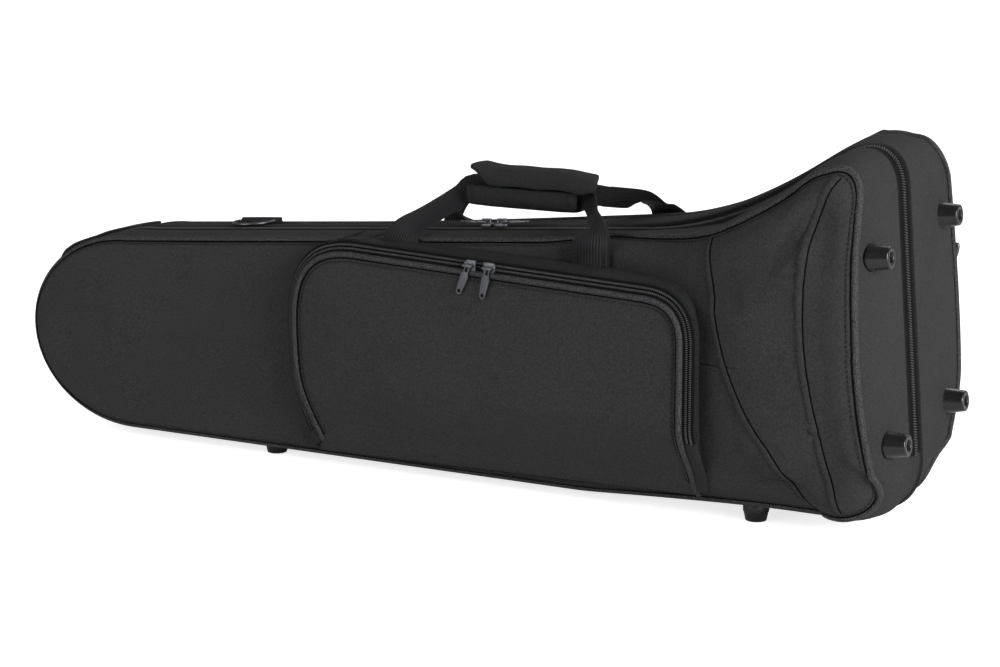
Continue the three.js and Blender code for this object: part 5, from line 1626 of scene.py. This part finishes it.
@dataclass
class Straps:
    """The carrying straps: ribbed webbing sewn to the faces, folded to half its width and run through the grip."""

    form: CaseForm
    width: float = 38
    thickness: float = 2.6
    gathered: float = 21
    patch: float = 34
    rise: float = 18
    centre: float = 560
    grip_height: float = 284
    grip_length: float = 120
    face_gap: float = 2.5
    grip_gap: float = 1.8
    box_top: float = 6
    box_height: float = 24
    box_margin: float = 4

    def face(self, half: Half, x: float) -> float:
        """Distance of a sewn strap's middle from the parting plane."""
        return half.depth(x + self.width / 2) + self.thickness / 2 + self.face_gap

    def route(self, half: Half, ends: tuple[float, float]) -> Curve:
        """The strap's middle line from one sewn end to the other."""
        in_grip = half.sign * (self.thickness / 2 + self.grip_gap)

        def leg(x: float, way: int) -> list[Vector]:
            """One leg, from its sewn end to the grip."""
            face, top = half.sign * self.face(half, x), self.form.top(x)
            grip_end = self.centre + way * self.grip_length / 2
            sewn = [self.form.at(x, face, top - below) for below in (self.patch, self.patch / 2, self.thickness)]
            shares = STEEP_LEG if half.sign > 0 and way > 0 else LEG
            free = [self.form.at(mix(x, grip_end, a), mix(face, in_grip, b),
                                 mix(top + self.rise / 2, self.grip_height, c)) for a, b, c in shares]
            return [*sewn, *free]

        middle = [self.form.at(self.centre + s * self.grip_length / 2, in_grip, self.grip_height)
                  for s in (-0.75, -0.25, 0.25, 0.75)]
        return catmull([*leg(ends[0], -1), *middle, *reversed(leg(ends[1], 1))])

    def width_at(self, point: Vector) -> float:
        """The strap's width where it passes a point, in millimetres."""
        x, z = (point.x - self.form.shift.x) / MM, point.z / MM
        leave = self.form.top(x) - self.thickness
        rise = self.rise * (2 if point.y > 0 and x > self.centre else 1)
        return mix(self.width, self.gathered, smoothstep(z, leave, leave + rise))

    def build(self, half: Half, ends: tuple[float, float], node: str) -> None:
        """Builds one carrying strap and the stitched squares at its ends."""
        curve = self.route(half, ends)
        path = resampled([curve(k / 300) for k in range(301)], 0.0035)
        sections = []
        for point, along, _, _ in path_frames(path, False, Vector((0, 1, 0))):
            flat = Vector((along.x, 0, along.z)).normalized()
            side = Vector((-flat.z, 0, flat.x))
            wide = self.width_at(point)
            folded = (self.width - wide) / (self.width - self.gathered)
            thick = mix(self.thickness, self.thickness * 1.75, folded)
            sections.append([point + side * a * MM + Vector((0, b * MM, 0)) for a, b in webbing_section(wide, thick)])
        band = lofted(half.named("carrying_strap"), sections, sharp_angle=60)
        dressed(band, WEBBING, half.body, [node])
        for end in ends:
            self.stitches(half, end)

    def stitches(self, half: Half, x: float) -> None:
        """The box of stitches that holds a strap's end."""
        face = half.sign * (self.face(half, x) + self.thickness / 2)
        top, reach = self.form.top(x) - self.box_top, self.width / 2 - self.box_margin
        corners = [(-reach, 0), (reach, 0), (reach, -self.box_height), (-reach, -self.box_height)]
        path = resampled([self.form.at(x + a, face, top + b) for a, b in corners], 0.002, True)
        out = [Vector((0, half.sign, 0))] * len(path)
        thread(half.named(f"strap_stitches_{round(x)}"), path, out, half.body, 0, 0.2, 3.9, closed=True)


@dataclass
class Grip:
    """The padded grip round both straps and the soft flap that closes it."""

    form: CaseForm
    centre: float = 560
    height: float = 284
    pressure: float = 4
    bulge: float = 1.2
    seam_reach: float = 52
    seam_depth: float = 15.2
    seam_foot: float = 17.2
    flap_thickness: float = 4.2
    flap_edge: float = 4
    flap_shift: float = 3
    flap_slant: float = 13
    flap_steps: int = 46

    def build(self) -> None:
        """Builds the pad and the flap."""
        pad = foam_copy("grip_sleeve", "grip_pad", 0.0022, 5)
        inflated(pad, self.pressure, self.bulge * MM)
        dressed(pad, PAD_NYLON, Body.BACK, ["grip_pad"])
        for name, x in (("left", self.centre - self.seam_reach), ("right", self.centre + self.seam_reach)):
            self.end_seam(name, x)
        self.flap()

    def end_seam(self, name: str, x: float) -> None:
        """The row of stitches that closes one end of the pad."""
        low, deep = self.height - self.seam_foot, self.seam_depth
        run = [(-deep, self.height + 3), (-deep, low + 8), (-deep + 8, low), (deep - 8, low), (deep, low + 8),
               (deep, self.height + 14)]
        path = resampled([self.form.at(x, y, z) for y, z in run], 0.002)
        middle = self.form.at(x, 0, self.height)
        ups = [(p - middle).normalized() for p in path]
        thread(f"grip_stitches_{name}", path, ups, Body.BACK, 0, 0.1, 3.9)

    def flap(self) -> None:
        """A soft flap over the pad, with rolled edges and its free end a little lifted."""
        low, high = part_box("grip_flap")
        thick, slant = self.flap_thickness * MM, self.flap_slant * MM
        across, length = high.y - low.y, high.x - low.x
        start, stop = (x + self.flap_shift * MM for x in (low.x, high.x))
        sections = []
        for share in (k / self.flap_steps for k in range(self.flap_steps + 1)):
            end = min(share, 1 - share) * length
            roll = math.sqrt(max(1 - (1 - min(end / (self.flap_edge * MM), 1)) ** 2, 0.02))
            lift = 3.5 * MM * (1 - min(share / 0.25, 1)) ** 2 + 0.4 * MM * math.sin(share * 21)
            lift -= 6.0 * MM * smoothstep(share, 0.76, 1)
            hang = mix(0.12, 1, smoothstep(share, 0.02, 0.16)) * mix(1, 0.5, smoothstep(share, 0.84, 1))
            roll *= 1.5 - 0.5 * smoothstep(share, 0.0, 0.14)
            half = thick / 2 * roll
            over = [
                (high.y, 0.0, 0), (high.y - 0.25 * across, 0.0, 0.4 * MM), (high.y - 0.55 * across, 0.0, 0.6 * MM),
                (low.y + 6 * MM, 0.0, 0.2 * MM), (low.y + 1.6 * MM, -2.6 * MM * hang, 0), (low.y, -7 * MM * hang, 0),
                (low.y - 0.2 * MM, -13.4 * MM * hang, 0),
            ]
            middle = [Vector((mix(start, stop - slant * (y - low.y) / across, share), y,
                              high.z - thick / 2 + z + bump + lift * mix(1, (high.y - y) / across, 0.5)))
                      for y, z, bump in over]
            out, back = [], []
            for n, point in enumerate(middle):
                run = middle[min(n + 1, len(middle) - 1)] - middle[max(n - 1, 0)]
                normal = Vector((0, run.z, -run.y)).normalized() * (half * (0.55 if n == len(middle) - 1 else 1))
                out.append(point + normal)
                back.append(point - normal)
            tip = middle[-1] + (middle[-1] - middle[-2]).normalized() * half * 0.9
            sections.append([*out, tip, *reversed(back)])
        flap = lofted("grip_cover_flap", sections, sharp_angle=70, keep_uv=False)
        smooth = flap.modifiers.new("Subdivision", "SUBSURF")
        smooth.levels = smooth.render_levels = 2
        applied(flap)
        dressed(flap, PAD_NYLON, Body.GRIP_FLAP, ["grip_flap"])


# The nose loop's distance from the outline in millimetres, by degrees round the nose from its top.
LOOP_ROUTE = ((14, -1.8), (20, -0.6), (27, 1.4), (34, 4.5), (42, 8), (49, 14), (55, 20.5), (62, 26.5), (72, 26.5),
              (84, 19), (96, 9), (108, 1), (118, 0), (134, 0))


@dataclass(frozen=True)
class FootSize:
    """Sizes of a foot in millimetres: radii of its base, tip and bore, the bore's floor, length and sink."""

    base: float
    tip: float
    bore: float
    floor: float
    length: float
    sink: float


END_FOOT = FootSize(12, 9.8, 5, 5, 19, 14)
BOTTOM_FOOT = FootSize(11.5, 10, 4.6, 4, 10, 22)


@dataclass
class Fittings:
    """The loop on the nose, the D-rings with their tabs, the feet and the sliders."""

    form: CaseForm
    loop_width: float = 38
    loop_thickness: float = 3.6
    loop_from: float = 30
    ring_half: float = 22
    ring_pull: float = 32.5
    ring_wire: float = 3.8

    def build(self) -> None:
        """Builds all the fittings."""
        self.nose_loop()
        self.rings()
        self.feet()
        self.sliders()

    def nose_loop(self) -> None:
        """The webbing loop that stands off the nose."""
        form = self.form
        centre = Vector((form.nose.x, (form.rest + form.top(form.nose.x)) / 2))
        points = []
        for spot in form.run([Part.NOSE], 5):
            away = spot.point - centre
            degrees = math.degrees(math.atan2(-away.x / form.nose.x, away.y / (form.nose.y / 2)))
            if LOOP_ROUTE[0][0] <= degrees <= LOOP_ROUTE[-1][0]:
                flat = spot.point + spot.facing * (tabled(LOOP_ROUTE, degrees) + 1.2)
                points.append(form.at(flat.x, 0, flat.y))
        curve = catmull(points)
        path = resampled([curve(k / 200) for k in range(201)], 0.004)
        row = webbing_section(self.loop_width, self.loop_thickness)
        sections = []
        for point, along, _, _ in path_frames(path, False, Vector((0, 1, 0))):
            out = Vector((-along.z, 0, along.x))
            sections.append([point + Vector((0, (self.loop_from + a) * MM, 0)) + out * b * MM for a, b in row])
        band = lofted("nose_webbing", sections, sharp_angle=60)
        dressed(band, WEBBING, Body.BACK, ["nose_strap"])

    def rings(self) -> None:
        """The two D-rings and the folded webbing that carries each."""
        way = self.form.top_way()
        turns = {
            "top_ring": (-way, Vector((0, -1, 0)), Vector((-way.z, 0, way.x)), Body.TOP_RING),
            "bell_ring": (Vector((1, 0, 0)), Vector((0, 0, -1)), Vector((0, 1, 0)), Body.BELL_RING),
        }
        half, pull, thick = (size * MM for size in (self.ring_half, self.ring_pull, self.ring_wire))
        bar = line(Vector((-half, 0, 0)), Vector((half, 0, 0)))
        bow = cubic(Vector((half, 0, 0)), Vector((half, pull, 0)), Vector((-half, pull, 0)), Vector((-half, 0, 0)))
        shape = resampled([*(bar(k / 40) for k in range(40)), *(bow(k / 120) for k in range(120))], 0.0012, True)
        for name, (x, y, z, body) in turns.items():
            pivot = Vector(next(j["pos_m"] for j in frame["joints"] if j["name"] == f"{name}_swing"))
            turn = Matrix((x, y, z)).transposed()
            path = [pivot + turn @ p for p in shape]
            wire = swept(f"{name}_wire", path, z, round_section(thick, thick, 14), closed=True)
            dressed(wire, GUNMETAL, body, [name])
            tab = bevelled_copy(f"{name}_webbing", f"{name}_tab", 0.0005, 2)
            dressed(tab, WEBBING, Body.BACK, [f"{name}_tab"])

    def feet(self) -> None:
        """Glossy conical feet, each turned about its own axis, with the screw in its recess."""
        bodies = {"front": Body.FRONT, "back": Body.BACK}
        for mount in frame["record"]["mounts"]:
            if mount["kind"] != "flat_face":
                continue
            kind, _, side, where = mount["name"].split("_")
            size = END_FOOT if kind == "end" else BOTTOM_FOOT
            node = f"foot_{kind}_{side}_{where}"
            self.foot(node, Vector(mount["pos_m"]), Vector(mount["axis"]), size, bodies[side])

    def foot(self, node: str, tip: Vector, out: Vector, size: FootSize, body: Body) -> None:
        """One foot, spun from its profile.

        Args:
            node: The CAD node it stands for.
            tip: The middle of its flat end.
            out: The way out of the shell.
            size: Its sizes.
            body: The body that carries it.
        """
        base, end, bore, low = size.base, size.tip, size.bore, -size.length
        profile = [(0, low + size.floor), (bore, low + size.floor), (bore, -0.7), (bore + 0.7, 0), (end - 1.2, 0),
                   (end - 0.35, -0.35), (end, -1.3), (mix(end, base, 0.85), low + 2.4), (base + 0.4, low + 1.2),
                   (base + 0.6, low + 0.2), (base + 0.6, low - size.sink * 0.35), (base, low - size.sink * 0.4),
                   (0, low - size.sink * 0.4)]
        bm = bmesh.new()
        verts = [bm.verts.new((r * MM, 0, h * MM)) for r, h in profile]
        edges = [bm.edges.new(pair) for pair in zip(verts, verts[1:])]
        bmesh.ops.spin(bm, geom=[*verts, *edges], cent=(0, 0, 0), axis=(0, 0, 1), angle=TURN, steps=56,
                       use_merge=True)
        turn = Vector((0, 0, 1)).rotation_difference(out).to_matrix().to_4x4()
        bmesh.ops.transform(bm, matrix=Matrix.Translation(tip) @ turn, verts=bm.verts)
        closed_up(bm, True)
        cone = made_object(f"{node}_moulding", bm, sharp_angle=50)
        dressed(cone, FOOT_PVC, body, [node])
        kept(f"{node}_screw", GUNMETAL)

    def sliders(self) -> None:
        """The sliders and pulls, with their edges broken."""
        for name in ("main_slider_left", "main_slider_right", "pocket_slider_left", "pocket_slider_right"):
            dressed(bevelled_copy(f"{name}_casting", name, 0.0005), GUNMETAL, name, [name])
            pull = f"{name}_pull"
            dressed(bevelled_copy(f"{pull}_tab", pull, 0.0004, 2), GUNMETAL, pull, [pull])


def kept(node: str, finish: Finish) -> None:
    """Gives a CAD node that stays a finish."""
    mesh = frame["nodes"][node].data
    mesh.materials.clear()
    mesh.materials.append(finish.material())


@dataclass
class Inside:
    """Plush linings, foam rests and the small straps that hold the instrument."""

    def build(self) -> None:
        """Builds all that shows when the case is open."""
        for side, body in (("front", Body.FRONT), ("back", Body.BACK)):
            lining = foam_copy(f"{side}_plush", f"{side}_lining", 0.005, 3)
            dressed(lining, LINING_PLUSH, body, [f"{side}_lining"])
        soft = (("slide_rest_nose", Body.FRONT), ("slide_rest_bell", Body.FRONT), ("mouthpiece_holder", Body.BACK))
        for node, body in soft:
            block = foam_copy(f"{node}_foam", node, 0.0016, 4)
            dressed(block, LINING_PLUSH, body, [node])
        bands = (("slide_strap_nose", Body.FRONT), ("slide_strap_bell", Body.FRONT), ("bell_strap", Body.BACK))
        for node, body in bands:
            band = bevelled_copy(f"{node}_webbing", node, 0.0006, 3)
            dressed(band, WEBBING, body, [node])


@dataclass(frozen=True)
class StudioPaper(Finish):
    """White paper that looks evenly lit: it glows for the camera alone, so the case's shadow stays faint."""

    glow: float = 0.75

    def detail(self, tree: Tree, shader: Node) -> None:
        """Light of its own for rays that come straight from the camera."""
        seen = add_node(tree, "ShaderNodeLightPath")
        strength = add_node(tree, "ShaderNodeMath", {0: seen.outputs["Is Camera Ray"], 1: self.glow},
                            operation="MULTIPLY")
        shader.inputs["Emission Color"].default_value = (1, 1, 1, 1)
        tree.links.new(strength.outputs[0], shader.inputs["Emission Strength"])


@dataclass(frozen=True)
class SoftBox:
    """A square soft box: its place in metres, power in watts and edge in metres."""

    name: str
    place: tuple[float, float, float]
    power: float
    size: float

    def build(self, target: Vector) -> None:
        """Hangs the light and aims it."""
        lamp = bpy.data.lights.new(self.name, "AREA")
        lamp.energy, lamp.size = self.power, self.size
        made = bpy.data.objects.new(self.name, lamp)
        made.location = self.place
        aim = target - made.location
        made.rotation_euler = aim.to_track_quat("-Z", "Y").to_euler()
        bpy.context.scene.collection.objects.link(made)


SOFT_BOXES = (
    SoftBox("end_light", (3.0, -1.1, 1.1), 128, 1.6),
    SoftBox("face_light", (-1.4, -2.8, 1.3), 48, 1.8),
    SoftBox("rim_light", (0.6, 2.2, 2.0), 16, 1.4),
)


@dataclass
class Studio:
    """Pale floor, soft light and the photograph's camera: its angles in degrees, distances in metres, lens in mm."""

    floor_size: float = 14
    surround: float = 0.28
    surround_seen: float = 0.8
    lit: Vector = field(default_factory=lambda: Vector((0, 0, 0.15)))
    azimuth: float = 29
    elevation: float = 11.6
    distance: float = 2.52
    target: Vector = field(default_factory=lambda: Vector((0.0537, -0.0196, 0.141)))
    lens: float = 93.6
    sensor: float = 36

    def build(self) -> None:
        """Sets the stage."""
        self.floor()
        self.lights()
        self.camera()

    def floor(self) -> None:
        """A pale floor that fades into the background."""
        bm = bmesh.new()
        bmesh.ops.create_grid(bm, x_segments=1, y_segments=1, size=self.floor_size)
        sheet = made_object("studio_floor", bm)
        sheet.data.materials.append(StudioPaper("matt_white_paper", 0xF4F4F4, 0.9).material())

    def lights(self) -> None:
        """Soft boxes to the right, to the left and behind, in an even surround that looks pure white."""
        world = bpy.data.worlds.new("studio_surround")
        bpy.context.scene.world = world
        world.use_nodes = True
        tree = world.node_tree
        background = tree.nodes["Background"]
        background.inputs["Color"].default_value = (1, 1, 1, 1)
        seen = add_node(tree, "ShaderNodeLightPath")
        strength = add_node(tree, "ShaderNodeMath",
                            {0: seen.outputs["Is Camera Ray"], 1: self.surround_seen, 2: self.surround},
                            operation="MULTIPLY_ADD")
        tree.links.new(strength.outputs[0], background.inputs["Strength"])
        for box in SOFT_BOXES:
            box.build(self.lit)

    def camera(self) -> None:
        """The photograph's view, from the front and towards the bell end, a little from above, with a long lens."""
        azimuth, elevation = math.radians(self.azimuth), math.radians(self.elevation)
        back = Vector((math.sin(azimuth) * math.cos(elevation), -math.cos(azimuth) * math.cos(elevation),
                       math.sin(elevation)))
        lens = bpy.data.cameras.new("photo_camera")
        lens.sensor_width, lens.lens = self.sensor, self.lens
        lens.clip_end = 100
        made = bpy.data.objects.new("photo_camera", lens)
        made.location = self.target + back * self.distance
        made.rotation_euler = (-back).to_track_quat("-Z", "Y").to_euler()
        bpy.context.scene.collection.objects.link(made)
        scene = bpy.context.scene
        scene.camera = made
        scene.view_settings.view_transform = "Standard"


# The seams' lines on each half's face, in millimetres from the nose tip and the floor.
SEAM_RUNS = (
    ((791, 268), (799, 225), (808, 185), (820, 150), (838, 116), (860, 82), (879, 50), (891, 27)),
    ((914, 331), (905, 315), (895, 285), (890, 250), (889, 213), (892, 176), (898, 140), (905, 103), (912, 66),
     (917, 32)),
)


def main() -> None:
    """Builds the case piece by piece."""
    logging.basicConfig(level=logging.INFO, format="%(message)s")
    form = CaseForm()
    shells = Shells(form)
    zips = MainZip(form)
    straps = Straps(form)
    for half, ends, node in ((FRONT, (457, 663), "front_strap"), (BACK, (440, 648), "back_strap")):
        shells.build(half)
        shells.seams(half, SEAM_RUNS)
        zips.build(half)
        straps.build(half, ends, node)
    Pocket(form, shells.trees["front_cover"]).build()
    Grip(form).build()
    Fittings(form).build()
    Inside().build()
    Studio().build()


if __name__ == "__main__":
    main()
